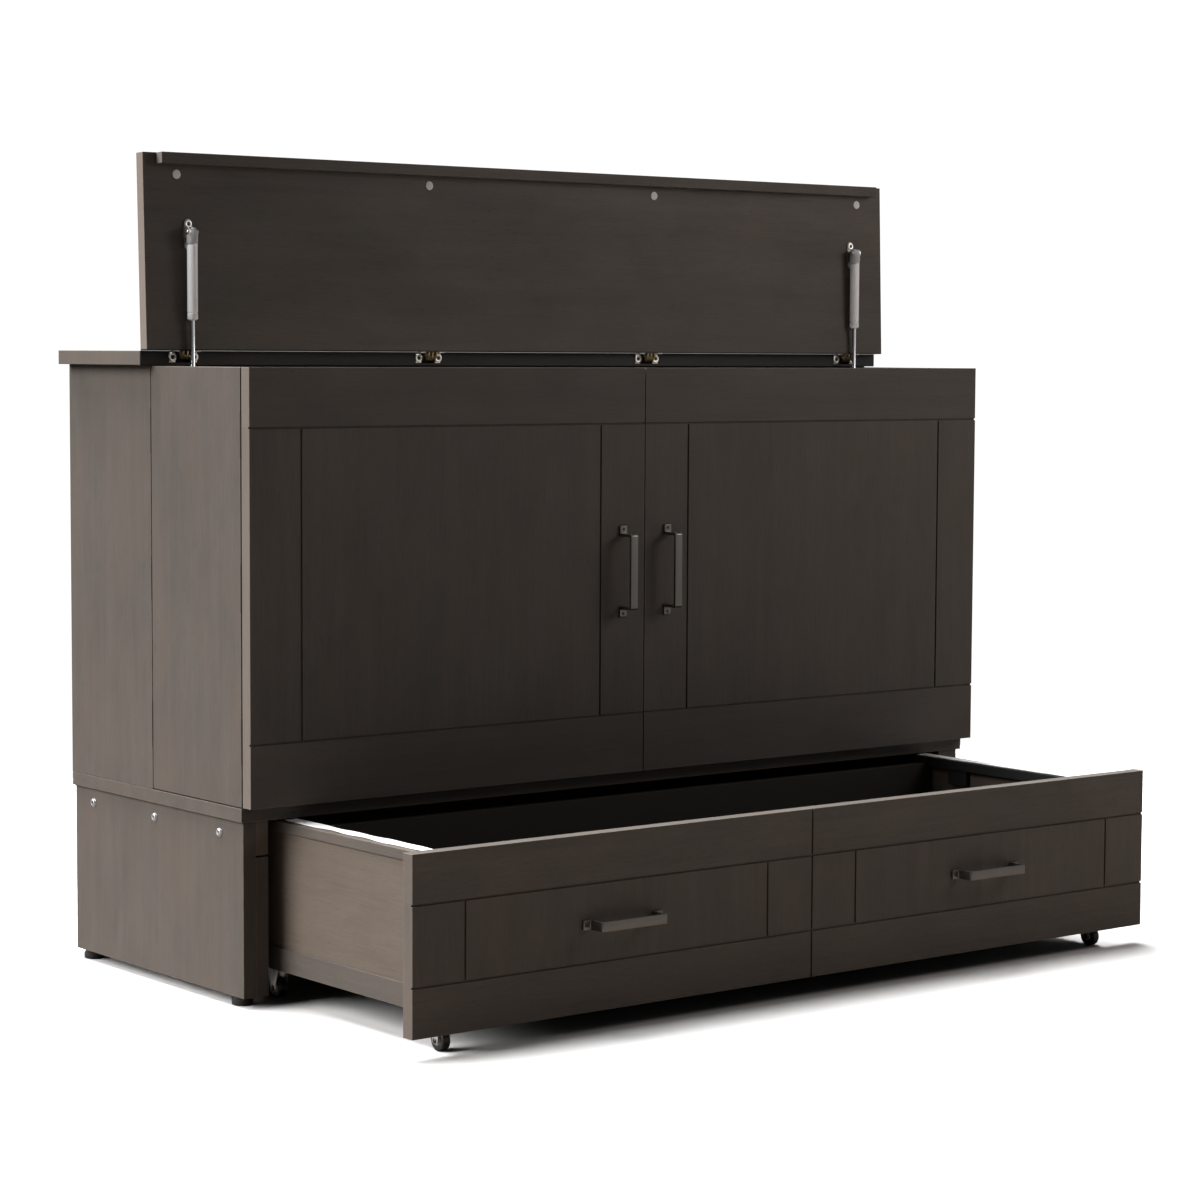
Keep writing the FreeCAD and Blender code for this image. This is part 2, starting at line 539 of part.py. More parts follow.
# ---------------------------------------------------------------- casters
forks = []
axles = []
casterSpots = (("front", "casterFrontSide", "drawerFrontRear + casterFrontSet"),
               ("rear", "casterRearSide", "drawerTail - casterRearSet"))
for endName, sideX, casterY in casterSpots:
    for handName, hand in hands:
        cheekGap = "(wheelWide / 2 + forkGap)"
        middle = signed(hand, sideX)
        cheeks = [box(("forkThick", "forkLong", "drawerBottomEdge - wheelRadius + forkEnd"),
                      ("%s + %s" % (middle, low), casterY + " - forkLong / 2", "wheelRadius - forkEnd"))
                  for low in (cheekGap, "(0 - %s - forkThick)" % cheekGap)]
        crown = box(("2 * (%s + forkThick)" % cheekGap, "forkLong", "forkThick"),
                    ("%s - (%s) - forkThick" % (middle, cheekGap), casterY + " - forkLong / 2",
                     "drawerBottomEdge - forkThick"))
        axleHalf = "(%s + forkThick + axleProud)" % cheekGap
        forkHole = rod("axleRadius", "2 * " + axleHalf,
                       ("%s - %s" % (middle, axleHalf), casterY, "wheelRadius"), "x")
        forks.append(cut(fuse(cheeks + [crown]), [forkHole]))
        axles.append(rod("axleRadius", "2 * " + axleHalf,
                         ("%s - %s" % (middle, axleHalf), casterY, "wheelRadius"), "x"))
        wheelX = middle + " - wheelWide / 2"
        tread = rod("wheelRadius", "wheelWide", (wheelX, casterY, "wheelRadius"), "x")
        bore = rod("axleRadius + axlePlay", "wheelWide + 2",
                   (wheelX + " - 1", casterY, "wheelRadius"), "x")
        subPart("caster_wheel_%s_%s" % (endName, handName), [cut(tread, [bore])])
subPart("caster_forks", forks)
subPart("caster_axles", axles)

# ---------------------------------------------------------------- folded platform and mattress
for label, panelY in (("platform_panel_inner", "platformInner"), ("platform_panel_outer", "platformOuter")):
    subPart(label, [box(("2 * sleepHalf", "platformThick", "platformHigh"),
                        ("0 - sleepHalf", panelY, "deckTop + platformFoot"))])
pinGap = "platformInner - (platformOuter + platformThick)"
subPart("platform_hinges", [
    rod("pinRadius", "2 * (sleepHalf - pinInset)",
        ("pinInset - sleepHalf", "platformInner - (%s) / 2" % pinGap,
         "deckTop + platformFoot + platformHigh + pinRise"), "x"),
    rod("pinRadius - pinSet", "2 * (sleepHalf - pinInset)",
        ("pinInset - sleepHalf", "platformInner + platformThick / 2", "deckTop + pinRadius - pinSet"), "x")])

legs = []
for handName, hand in hands:
    legY = "platformOuter - legRadius"
    uprights = [rod("legRadius", "legLong",
                    ("%s + %d * legSpan / 2" % (signed(hand, "legSide"), side), legY, "legFoot"), "z")
                for side in (-1, 1)]
    cross = rod("legRadius - pinSet", "legSpan",
                (signed(hand, "legSide") + " - legSpan / 2", legY, "legFoot + legRadius"), "x")
    legs.append(fuse(uprights + [cross]))
subPart("platform_legs", legs)

for place, label in enumerate(("mattress_rear", "mattress_middle", "mattress_front")):
    subPart(label, [
        box(("2 * sleepHalf", "mattressThick", "mattressHigh"),
            ("0 - sleepHalf",
             "mattressRear - %d * (mattressThick + mattressGap) - mattressThick" % place,
             "deckTop"))])

# ---------------------------------------------------------------- check and export
doc.recompute()
for item in doc.Objects:
    if "Invalid" in item.State or "Error" in item.State:
        raise RuntimeError("%s failed: %s" % (item.Label, item.State))
for item in subParts:
    if item.Shape.isNull() or not item.Shape.isValid():
        raise RuntimeError("%s has no valid shape" % item.Label)

os.makedirs("parts", exist_ok=True)
for item in subParts:
    item.Shape.exportStep("parts/%s.step" % item.Label)
print("%d sub-parts written" % len(subParts))
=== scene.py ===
import json
import math
import random
from functools import partial

import bmesh
import bpy
from mathutils import Matrix, Vector
from mathutils.bvhtree import BVHTree


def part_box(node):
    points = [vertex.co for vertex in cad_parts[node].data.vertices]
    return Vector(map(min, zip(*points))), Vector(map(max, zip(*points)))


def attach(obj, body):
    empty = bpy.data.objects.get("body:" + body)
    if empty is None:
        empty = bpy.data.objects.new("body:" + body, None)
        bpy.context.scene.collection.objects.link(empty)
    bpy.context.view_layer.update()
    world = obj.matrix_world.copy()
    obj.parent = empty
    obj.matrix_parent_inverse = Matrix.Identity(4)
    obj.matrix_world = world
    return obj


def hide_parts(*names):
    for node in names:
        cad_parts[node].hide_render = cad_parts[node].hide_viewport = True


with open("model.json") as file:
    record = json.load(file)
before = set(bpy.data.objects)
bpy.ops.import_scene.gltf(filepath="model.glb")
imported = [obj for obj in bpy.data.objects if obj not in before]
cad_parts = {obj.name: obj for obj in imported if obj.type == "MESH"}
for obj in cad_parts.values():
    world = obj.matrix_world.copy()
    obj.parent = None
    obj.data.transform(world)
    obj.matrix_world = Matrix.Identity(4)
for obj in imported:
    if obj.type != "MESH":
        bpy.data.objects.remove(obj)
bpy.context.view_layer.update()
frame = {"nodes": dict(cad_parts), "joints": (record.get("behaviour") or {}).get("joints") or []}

nodes = frame["nodes"]
joints = {joint["name"]: joint for joint in frame["joints"]}
scene = bpy.context.scene
hands = (("left", -1), ("right", 1))
across, forward, up = Vector((1, 0, 0)), Vector((0, -1, 0)), Vector((0, 0, 1))
print("frame loaded:", len(nodes), "nodes")

# the lid's own space: X across, Y 0 on its outer face and negative into the lid, Z up the open lid
lidTilt = math.radians(joints["lid_hinge"]["range_deg"][1] - 90)
lidSpace = Matrix.Translation(joints["lid_hinge"]["pos_m"]) @ Matrix.Rotation(-lidTilt, 4, "X")


# small mesh tools

def splitNode(name, space=Matrix.Identity(4)):
    # the separate solids of a CAD node, each as (lowest corner, highest corner, mesh)
    source = bmesh.new()
    source.from_mesh(nodes[name].data)
    source.transform(space.inverted())
    bmesh.ops.remove_doubles(source, verts=source.verts[:], dist=1e-6)
    left, found = set(source.verts), []
    while left:
        reached = [left.pop()]
        for vert in reached:
            for edge in vert.link_edges:
                other = edge.other_vert(vert)
                if other in left:
                    left.discard(other)
                    reached.append(other)
        solid = bmesh.new()
        copies = {vert: solid.verts.new(vert.co) for vert in reached}
        for face in {face for vert in reached for face in vert.link_faces}:
            solid.faces.new([copies[vert] for vert in face.verts])
        low = Vector([min(v.co[k] for v in reached) for k in range(3)])
        high = Vector([max(v.co[k] for v in reached) for k in range(3)])
        found.append((low, high, solid))
    source.free()
    return sorted(found, key=lambda item: [round(c, 4) for c in item[0]])


def solidBoxes(name, space=Matrix.Identity(4)):
    found = []
    for low, high, solid in splitNode(name, space):
        solid.free()
        found.append((low, high))
    return found


def centre(low, high):
    return (low + high) / 2


def newObject(name, data):
    made = bpy.data.objects.new(name, data)
    scene.collection.objects.link(made)
    return made


def newMesh(name, bm):
    mesh = bpy.data.meshes.new(name)
    bm.to_mesh(mesh)
    bm.free()
    return mesh


def evaluated(piece):
    return bpy.data.meshes.new_from_object(piece.evaluated_get(bpy.context.evaluated_depsgraph_get()))


def lathe(profile, sides):
    # turns (radius, height) points round Z, bottom centre to top centre; a third word shapes a recess
    bm = bmesh.new()
    rings = []
    for radius, height, *shape in profile:
        ring = []
        for k in range(sides if radius > 1e-7 else 1):
            angle = 2 * math.pi * k / sides
            reach = radius
            if shape == ["hex"]:
                reach *= math.cos(math.pi / 6) / math.cos(angle % (math.pi / 3) - math.pi / 6)
            if shape == ["cross"]:
                reach *= 0.3 + 0.7 * abs(math.cos(2 * angle)) ** 3
            ring.append(bm.verts.new((reach * math.cos(angle), reach * math.sin(angle), height)))
        rings.append(ring)
    for low, high in zip(rings, rings[1:]):
        for k in range(sides):
            corners = []
            for vert in (low[k % len(low)], low[(k + 1) % len(low)],
                         high[(k + 1) % len(high)], high[k % len(high)]):
                if vert not in corners:
                    corners.append(vert)
            if len(corners) > 2:
                bm.faces.new(corners)
    return bm


def dome(radius, low, high, steps):
    # the profile points of a rounded end, from the rim to the middle
    return [(radius * math.cos(math.pi / 2 * k / steps), low + (high - low) * math.sin(math.pi / 2 * k / steps))
            for k in range(1, steps)] + [(0, high)]


def rounded(corners, steps=4):
    # an outline whose (x, y, radius) corners are rounded by arcs
    points = []
    for k, (x, y, radius) in enumerate(corners):
        here = Vector((x, y))
        back = (Vector(corners[k - 1][:2]) - here).normalized()
        ahead = (Vector(corners[(k + 1) % len(corners)][:2]) - here).normalized()
        if radius <= 0:
            points.append(here)
            continue
        half = back.angle(ahead) / 2
        centre = here + (back + ahead).normalized() * radius / math.sin(half)
        start, end = here + back * radius / math.tan(half), here + ahead * radius / math.tan(half)
        for step in range(steps + 1):
            spot = start.lerp(end, step / steps) - centre
            points.append(centre + spot.normalized() * radius)
    return points


def plate(outline, thick, edge=0.0004):
    # an outline in XY made a plate between Z 0 and thick, with softened edges
    bm = bmesh.new()
    face = bm.faces.new([bm.verts.new((p[0], p[1], 0)) for p in outline])
    face.normal_update()
    if face.normal.z > 0:
        face.normal_flip()
    made = bmesh.ops.extrude_face_region(bm, geom=[face])
    raised = [item for item in made["geom"] if isinstance(item, bmesh.types.BMVert)]
    bmesh.ops.translate(bm, vec=(0, 0, thick), verts=raised)
    bmesh.ops.recalc_face_normals(bm, faces=bm.faces[:])
    soften(bm, edge)
    return bm


def soften(bm, width, angle=30, steps=2):
    bm.normal_update()
    sharp = [e for e in bm.edges if len(e.link_faces) == 2 and e.calc_face_angle(0) > math.radians(angle)]
    if sharp and width > 0:
        bmesh.ops.bevel(bm, geom=sharp, offset=width, segments=steps, profile=0.5, affect="EDGES",
                        clamp_overlap=True)
    return bm


def block(low, high, edge=0.0006):
    bm = bmesh.new()
    bmesh.ops.create_cube(bm, size=1)
    low, high = Vector(low), Vector(high)
    for vert in bm.verts:
        vert.co = Vector([(low[k] + high[k]) / 2 + vert.co[k] * (high[k] - low[k]) for k in range(3)])
    return soften(bm, edge)


def facing(spot, aim, spin=0.0):
    # turns a piece made along Z to look along aim, and puts it at spot
    turned = aim.to_track_quat("Z", "Y").to_matrix().to_4x4()
    return Matrix.Translation(spot) @ turned @ Matrix.Rotation(spin, 4, "Z")


def axes(spot, first, second, third):
    # a placement from the three directions that local X, Y and Z take
    return Matrix.Translation(spot) @ Matrix((first, second, third)).transposed().to_4x4()


class Assembly:
    # gathers meshes into one piece

    def __init__(self):
        self.bm = bmesh.new()

    def put(self, part, place=Matrix.Identity(4), finish=0):
        part.transform(place)
        for face in part.faces:
            face.material_index = finish
        mesh = newMesh("part", part)
        self.bm.from_mesh(mesh)
        bpy.data.meshes.remove(mesh)

    def turn(self, profile, sides, spot, aim, finish=0, spin=0.0):
        # a lathed profile that stands at spot and looks along aim
        self.put(lathe(profile, sides), facing(spot, aim, spin), finish)

    def done(self, name, finishes, body, slot, replaced=(), space=Matrix.Identity(4)):
        self.bm.transform(space)
        return settle(name, newMesh(name, self.bm), finishes, body, replaced)


def settle(name, mesh, finishes, body, replaced=(), angle=38):
    # makes the object of a finished mesh, shades it, hangs it on its body and hides the parts it replaces
    for finish in finishes:
        mesh.materials.append(finish)
    mesh.shade_smooth()
    mesh.set_sharp_from_angle(angle=math.radians(angle))
    piece = newObject(name, mesh)
    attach(piece, body)
    if replaced:
        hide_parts(*replaced)
    return piece


# shader tools

def put(tree, kind, inputs=None, **settings):
    made = tree.nodes.new(kind)
    for key, value in settings.items():
        setattr(made, key, value)
    for key, value in (inputs or {}).items():
        if isinstance(value, bpy.types.NodeSocket):
            tree.links.new(value, made.inputs[key])
        else:
            made.inputs[key].default_value = value
    return made


def putFirst(tree, kind, inputs=None, **settings):
    return put(tree, kind, inputs, **settings).outputs[0]


def treeOf(values):
    return next(value.id_data for value in values if isinstance(value, bpy.types.NodeSocket))


def calc(operation, *values, clamp=False):
    return putFirst(treeOf(values), "ShaderNodeMath", dict(enumerate(values)), operation=operation,
                    use_clamp=clamp)


add, subtract, multiply, below, above = (partial(calc, operation) for operation in (
    "ADD", "SUBTRACT", "MULTIPLY", "LESS_THAN", "GREATER_THAN"))


def vectorCalc(operation, *values):
    made = put(treeOf(values), "ShaderNodeVectorMath", dict(enumerate(values)), operation=operation)
    return made.outputs[1 if operation == "DOT_PRODUCT" else 0]


def stretch(vector, along, acrossIt, other=None):
    return vectorCalc("MULTIPLY", vector, (along, acrossIt, acrossIt if other is None else other))


def ramp(value, low, high, outLow=0.0, outHigh=1.0):
    return putFirst(value.id_data, "ShaderNodeMapRange", {0: value, 1: low, 2: high, 3: outLow, 4: outHigh})


def tint(share, first, second):
    return put(share.id_data, "ShaderNodeMix", {0: share, 6: first, 7: second}, data_type="RGBA").outputs[2]


def noise(vector, scale, detail=3.0, rough=0.5, warp=0.0):
    return put(vector.id_data, "ShaderNodeTexNoise", {"Vector": vector, "Scale": scale, "Detail": detail,
                                                      "Roughness": rough, "Distortion": warp}).outputs["Fac"]


def parted(vector):
    return put(vector.id_data, "ShaderNodeSeparateXYZ", {0: vector}).outputs


def newGroup(name, given, made):
    # an input with no number is a vector; the outputs are all numbers
    tree = bpy.data.node_groups.new(name, "ShaderNodeTree")
    for label, value in given.items():
        kind = "NodeSocketFloat" if isinstance(value, float) else "NodeSocketVector"
        socket = tree.interface.new_socket(name=label, in_out="INPUT", socket_type=kind)
        if value is not None:
            socket.default_value = value
    for label in made:
        tree.interface.new_socket(name=label, in_out="OUTPUT", socket_type="NodeSocketFloat")
    return tree.nodes.new("NodeGroupInput").outputs, tree.nodes.new("NodeGroupOutput").inputs


def closeGroup(result, **sockets):
    for label, socket in sockets.items():
        result.id_data.links.new(socket, result[label])
    return socket.id_data


def makeGrain():
    # wood with its grain along X: bands, fibres, pores and slow cloudy blotches
    given, result = newGroup("woodGrain", {"Vector": None, "Bands": 1.0, "Blotches": 1.0},
                             ("Tone", "Warmth", "Pores", "Height"))
    start = given["Vector"]
    bands = noise(stretch(start, 2.2, 42), 1.0, 5.0, 0.62, 0.35)
    fibres = noise(stretch(start, 16, 620), 1.0, 4.0, 0.6)
    pores = ramp(noise(stretch(start, 55, 1500), 1.0, 1.0), 0.63, 0.72)
    clouds = noise(stretch(start, 4.5, 8), 1.0, 3.0, 0.55, 0.4)
    warmth = noise(stretch(start, 3.1, 6.5), 1.7, 2.0, 0.5, 0.6)
    tone = multiply(subtract(bands, 0.5), given["Bands"])
    tone = calc("MULTIPLY_ADD", subtract(fibres, 0.5), 0.75, tone)
    cloudy = multiply(subtract(clouds, 0.5), given["Blotches"])
    tone = add(add(tone, cloudy), 0.5, clamp=True)
    return closeGroup(result, Tone=tone, Warmth=ramp(warmth, 0.42, 0.68), Pores=pores,
                      Height=subtract(fibres, multiply(pores, 0.8)))


def makeWear():
    # a mask along the edges of the box between Low and High, broken up by noise
    given, result = newGroup("edgeWear", {"Vector": None, "Low": (0, 0, 0), "High": (1, 1, 1), "Width": 0.002,
                                          "Uneven": 0.7}, ("Wear",))
    start = given["Vector"]
    near = parted(vectorCalc("MINIMUM", vectorCalc("SUBTRACT", start, given["Low"]),
                             vectorCalc("SUBTRACT", given["High"], start)))
    less, more = (calc(pick, near[0], near[1]) for pick in ("MINIMUM", "MAXIMUM"))
    second = calc("MAXIMUM", less, calc("MINIMUM", more, near[2]))
    patches = ramp(noise(start, 38.0, 4.0, 0.65), 0.35, 0.7)
    width = multiply(given["Width"], add(multiply(patches, given["Uneven"]), 0.3))
    return closeGroup(result, Wear=subtract(1.0, calc("DIVIDE", second, width), clamp=True))


def makeMetalSkin():
    # fine brushing along X, a few scratches and handling smudges
    given, result = newGroup("metalSkin", {"Vector": None, "Brushing": 1.0},
                             ("Shade", "Smudge", "Scratch", "Height"))
    start = given["Vector"]
    brushed = noise(stretch(start, 90, 2600), 1.0, 2.0)
    speckle = noise(start, 1400.0, 2.0)
    smudge = noise(start, 55.0, 4.0, 0.6, 0.5)
    scratch = ramp(noise(stretch(start, 900, 60, 340), 1.0, 1.0, 0.5, 1.2), 0.7, 0.75)
    shade = calc("MULTIPLY_ADD", subtract(brushed, 0.5), given["Brushing"], 0.5)
    shade = calc("MULTIPLY_ADD", subtract(speckle, 0.5), 0.4, shade)
    return closeGroup(result, Shade=shade, Smudge=ramp(smudge, 0.35, 0.7), Scratch=scratch,
                      Height=add(brushed, speckle))


def makeDust():
    # dust that has settled where the surface looks up
    given, result = newGroup("settledDust", {"Normal": None, "Vector": None}, ("Dust",))
    lying = ramp(parted(given["Normal"])[2], 0.6, 1.0)
    specks = add(noise(given["Vector"], 14.0, 4.0, 0.6), ramp(noise(given["Vector"], 900.0, 1.0), 0.62, 0.75))
    return closeGroup(result, Dust=multiply(lying, specks))


def makeFibres():
    # matted or knitted fibres: a soft fuzz over loops in rows
    given, result = newGroup("clothFibres", {"Vector": None, "Loops": 420.0}, ("Rows", "Fuzz", "Height"))
    start = given["Vector"]
    parts = parted(putFirst(start.id_data, "ShaderNodeVectorMath", {0: start, "Scale": given["Loops"]},
                            operation="SCALE"))
    rows = multiply(calc("SINE", add(parts[0], parts[1])), calc("SINE", multiply(parts[2], 1.3)))
    rows = calc("MULTIPLY_ADD", rows, 0.5, 0.5)
    fuzz = noise(start, 1900.0, 3.0, 0.7, 0.8)
    return closeGroup(result, Rows=rows, Fuzz=fuzz, Height=calc("MULTIPLY_ADD", fuzz, 0.6, rows))


groups = {"grain": makeGrain(), "wear": makeWear(), "metal": makeMetalSkin(), "dust": makeDust(),
          "fibres": makeFibres()}


def useGroup(group, **inputs):
    return put(treeOf(inputs.values()), "ShaderNodeGroup", inputs, node_tree=groups[group]).outputs


def newMaterial(name, preset):
    # a material with a Principled shader whose plain numbers are set on its own sockets
    material = bpy.data.materials.new(name)
    material.use_nodes = True
    shader = material.node_tree.nodes["Principled BSDF"].inputs
    for key, value in preset.items():
        shader[key].default_value = value
    return material, shader, put(material.node_tree, "ShaderNodeTexCoord").outputs


def closeMaterial(material, shader, colour, rough, height, strength, distance):
    # links what varies over the surface
    made = putFirst(material.node_tree, "ShaderNodeBump", {"Height": height, "Strength": strength,
                                                           "Distance": distance})
    for key, socket in (("Base Color", colour), ("Roughness", rough), ("Normal", made)):
        material.node_tree.links.new(socket, shader[key])
    return material


# six colours, how strong the bands and blotches are, the width of the wear, and the roughness
lookKeys = ("dark", "light", "warm", "pore", "worn", "dust", "bands", "blotches", "wearWidth", "roughLow",
            "roughHigh")


def newLook(*values):
    # colours come with three channels and get a full alpha
    return {key: value + (1,) if isinstance(value, tuple) else value for key, value in zip(lookKeys, values)}


stain = newLook(  # the dark stained boards
    (0.050, 0.0435, 0.0385), (0.083, 0.0725, 0.0640), (0.092, 0.068, 0.055), (0.022, 0.018, 0.015),
    (0.15, 0.128, 0.108), (0.30, 0.285, 0.265), 0.75, 0.9, 0.0022, 0.46, 0.62)
tan = newLook(  # the drawer's paler sheet sides
    (0.066, 0.052, 0.042), (0.104, 0.086, 0.071), (0.106, 0.080, 0.060), (0.040, 0.030, 0.022),
    (0.17, 0.14, 0.115), (0.30, 0.285, 0.265), 0.35, 0.8, 0.0018, 0.55, 0.75)
lacquered = newLook(  # the sleeping platform's clear plywood
    (0.42, 0.29, 0.165), (0.64, 0.48, 0.30), (0.60, 0.40, 0.22), (0.26, 0.16, 0.08),
    (0.68, 0.55, 0.38), (0.5, 0.47, 0.42), 1.1, 0.5, 0.0015, 0.32, 0.46)
greyBack = newLook(  # the thin back sheet
    (0.036, 0.032, 0.029), (0.060, 0.053, 0.047), (0.060, 0.047, 0.038), (0.02, 0.018, 0.016),
    (0.11, 0.09, 0.07), (0.25, 0.24, 0.22), 0.5, 0.7, 0.0015, 0.6, 0.8)
shadedInterior = newLook(  # the drawer's inside: a dark stain taken near black as painted shade for the drawer's unlit inside
    (0.0070, 0.0060, 0.0052), (0.0130, 0.0110, 0.0095), (0.014, 0.0105, 0.008), (0.008, 0.007, 0.006),
    (0.08, 0.066, 0.055), (0.14, 0.13, 0.12), 0.6, 0.8, 0.0015, 0.55, 0.72)
shadeBlack = newLook(  # black-painted parts out of the light, taken near black as painted shade
    (0.009, 0.009, 0.009), (0.014, 0.014, 0.014), (0.014, 0.012, 0.011), (0.006, 0.006, 0.006),
    (0.05, 0.042, 0.036), (0.12, 0.115, 0.11), 0.4, 0.5, 0.0012, 0.5, 0.7)

# the pale end-face tone is partly lighter end grain, partly painted sheen
boardShare = {"warm": 0.27, "pore": 0.5, "worn": 0.55, "dust": 0.07, "dustRough": 0.08, "skin": 0.0007,
              "ply": 0.6, "rim": 0.1, "endSheenTone": (0.26, 0.215, 0.185, 1), "black": (0.010, 0.010, 0.010, 1)}


def boardMaterial(name, look, grain, low, high, seed, rails=None, black=None, plies=None, paleEndSheen=0.0):
    # grain is the axis it runs along; rails gives the heights between which it stands upright instead
    # black is an axis and the place below which it is painted; plies an axis and their thickness
    material, shader, coords = newMaterial(name, {"Specular IOR Level": 0.22})
    place, skin = coords["Object"], boardShare["skin"]
    shift = Vector((random.Random(seed).uniform(-9, 9), random.Random(seed + 1).uniform(-9, 9), seed * 0.7))
    parts = parted(place)

    def turnedTo(axis):
        order = {"X": (0, 1, 2), "Y": (1, 0, 2), "Z": (2, 0, 1)}[axis]
        return putFirst(place.id_data, "ShaderNodeCombineXYZ", dict(enumerate(parts[k] for k in order)))

    turned = turnedTo(grain)
    if rails:
        inside = multiply(above(parts[2], rails[0]), below(parts[2], rails[1]))
        turned = put(place.id_data, "ShaderNodeMix", {0: inside, 4: turned, 5: turnedTo("Z")},
                     data_type="VECTOR").outputs[1]
    grained = useGroup("grain", Vector=vectorCalc("ADD", turned, shift), Bands=look["bands"],
                       Blotches=look["blotches"])
    wear = useGroup("wear", Vector=place, Low=low, High=high, Width=look["wearWidth"])["Wear"]
    dust = useGroup("dust", Normal=coords["Normal"], Vector=place)["Dust"]
    colour = tint(grained["Tone"], look["dark"], look["light"])
    colour = tint(multiply(grained["Warmth"], boardShare["warm"]), colour, look["warm"])
    colour = tint(multiply(grained["Pores"], boardShare["pore"]), colour, look["pore"])
    if plies:
        axis, thick = plies
        layer = calc("SINE", multiply(parts[axis], 2 * math.pi / thick))
        rim = useGroup("wear", Vector=place, Low=low, High=high, Width=0.0005, Uneven=0.2)["Wear"]
        fromMiddle = calc("ABSOLUTE", subtract(parts[axis], (low[axis] + high[axis]) / 2))
        onEdge = below(fromMiddle, (high[axis] - low[axis]) / 2 - skin)
        dark = multiply(multiply(onEdge, ramp(layer, -0.2, 0.2)), boardShare["ply"])
        colour = tint(add(dark, multiply(rim, boardShare["rim"])), colour, look["pore"])
    # end faces made paler: partly lighter end grain, partly painted sheen where the ends catch the light
    if paleEndSheen:
        outside = add(below(parts[0], low[0] + skin), above(parts[0], high[0] - skin))
        colour = tint(multiply(outside, paleEndSheen), colour, boardShare["endSheenTone"])
    if black:
        painted = below(parts[black[0]], black[1])
        colour = tint(painted, colour, boardShare["black"])
        wear = multiply(wear, subtract(1.0, painted))
    colour = tint(multiply(wear, boardShare["worn"]), colour, look["worn"])
    colour = tint(multiply(dust, boardShare["dust"]), colour, look["dust"])
    rough = ramp(grained["Tone"], 0.0, 1.0, look["roughHigh"], look["roughLow"])
    rough = add(rough, multiply(dust, boardShare["dustRough"]))
    return closeMaterial(material, shader, colour, rough, grained["Height"], 0.22, 0.0004)


def metalMaterial(name, base, deep, roughLow, roughHigh, metallic=1.0, brushing=0.6, coat=0.0, strength=0.12):
    material, shader, coords = newMaterial(name, {"Metallic": metallic, "Coat Weight": coat,
                                                  "Coat Roughness": 0.2})
    skin = useGroup("metal", Vector=coords["Object"], Brushing=brushing)
    dust = useGroup("dust", Normal=coords["Normal"], Vector=coords["Object"])["Dust"]
    colour = tint(skin["Shade"], deep, base)
    colour = tint(multiply(skin["Smudge"], 0.18), colour, deep)
    colour = tint(multiply(skin["Scratch"], 0.25), colour, tuple(min(1, c * 1.5) for c in base))
    colour = tint(multiply(dust, 0.06), colour, (0.4, 0.39, 0.37, 1))
    rough = calc("MULTIPLY_ADD", skin["Shade"], 0.08, ramp(skin["Smudge"], 0.0, 1.0, roughLow, roughHigh))
    return closeMaterial(material, shader, colour, rough, skin["Height"], strength, 0.00015)


def plasticMaterial(name, base, deep, roughLow, roughHigh):
    # moulded plastic and rubber: a fine grain, scuffs and a little dust
    material, shader, coords = newMaterial(name, {"Specular IOR Level": 0.4})
    scuffs = ramp(noise(coords["Object"], 130.0, 5.0, 0.7, 0.6), 0.5, 0.75)
    dust = useGroup("dust", Normal=coords["Normal"], Vector=coords["Object"])["Dust"]
    colour = tint(multiply(dust, 0.12), tint(scuffs, deep, base), (0.3, 0.29, 0.27, 1))
    rough = ramp(scuffs, 0.0, 1.0, roughLow, roughHigh)
    return closeMaterial(material, shader, colour, rough, noise(coords["Object"], 2600.0, 2.0), 0.15, 0.0001)


def clothMaterial(name, base, deep, loops, sheen, strength):
    material, shader, coords = newMaterial(name, {"Specular IOR Level": 0.15, "Sheen Weight": sheen,
                                                  "Sheen Roughness": 0.5})
    fibres = useGroup("fibres", Vector=coords["Object"], Loops=loops)
    clouds = noise(coords["Object"], 9.0, 3.0, 0.5)
    colour = tint(multiply(fibres["Fuzz"], 0.3), tint(fibres["Rows"], deep, base), deep)
    colour = tint(multiply(clouds, 0.12), colour, tuple(c * 0.8 for c in deep[:3]) + (1,))
    rough = ramp(fibres["Fuzz"], 0.0, 1.0, 0.8, 0.97)
    return closeMaterial(material, shader, colour, rough, fibres["Height"], strength, 0.0006)


zinc = metalMaterial("zincPlate", (0.66, 0.67, 0.69, 1), (0.42, 0.43, 0.45, 1), 0.28, 0.46)
darkZinc = metalMaterial("dullZinc", (0.30, 0.29, 0.27, 1), (0.17, 0.16, 0.15, 1), 0.35, 0.55)
brightRing = metalMaterial("nickelRing", (0.78, 0.77, 0.74, 1), (0.55, 0.54, 0.51, 1), 0.3, 0.45, brushing=0.3)
brass = metalMaterial("hingeBrass", (0.42, 0.33, 0.20, 1), (0.20, 0.155, 0.09, 1), 0.3, 0.5)
darkSteel = metalMaterial("darkSteel", (0.09, 0.085, 0.08, 1), (0.035, 0.033, 0.03, 1), 0.35, 0.5)
legPaint = metalMaterial("blackPowderCoat", (0.035, 0.035, 0.036, 1), (0.02, 0.02, 0.021, 1), 0.42, 0.55, 0.0,
                         strength=0.3)
silver = metalMaterial("strutPaint", (0.93, 0.94, 0.98, 1), (0.84, 0.85, 0.89, 1), 0.3, 0.42, 0.0, 0.3, 0.4)
capGrey = plasticMaterial("strutCap", (0.50, 0.51, 0.53, 1), (0.42, 0.43, 0.45, 1), 0.42, 0.6)
chrome = metalMaterial("rodChrome", (0.80, 0.81, 0.83, 1), (0.66, 0.67, 0.69, 1), 0.07, 0.16, brushing=0.2,
                       strength=0.04)
gunmetal = metalMaterial("pullGunmetal", (0.17, 0.158, 0.148, 1), (0.10, 0.092, 0.085, 1), 0.24, 0.36, 0.9, 0.9)
blackPlastic = plasticMaterial("blackPlastic", (0.022, 0.022, 0.023, 1), (0.012, 0.012, 0.013, 1), 0.4, 0.6)
rubber = plasticMaterial("casterRubber", (0.011, 0.011, 0.012, 1), (0.006, 0.006, 0.0065, 1), 0.35, 0.6)
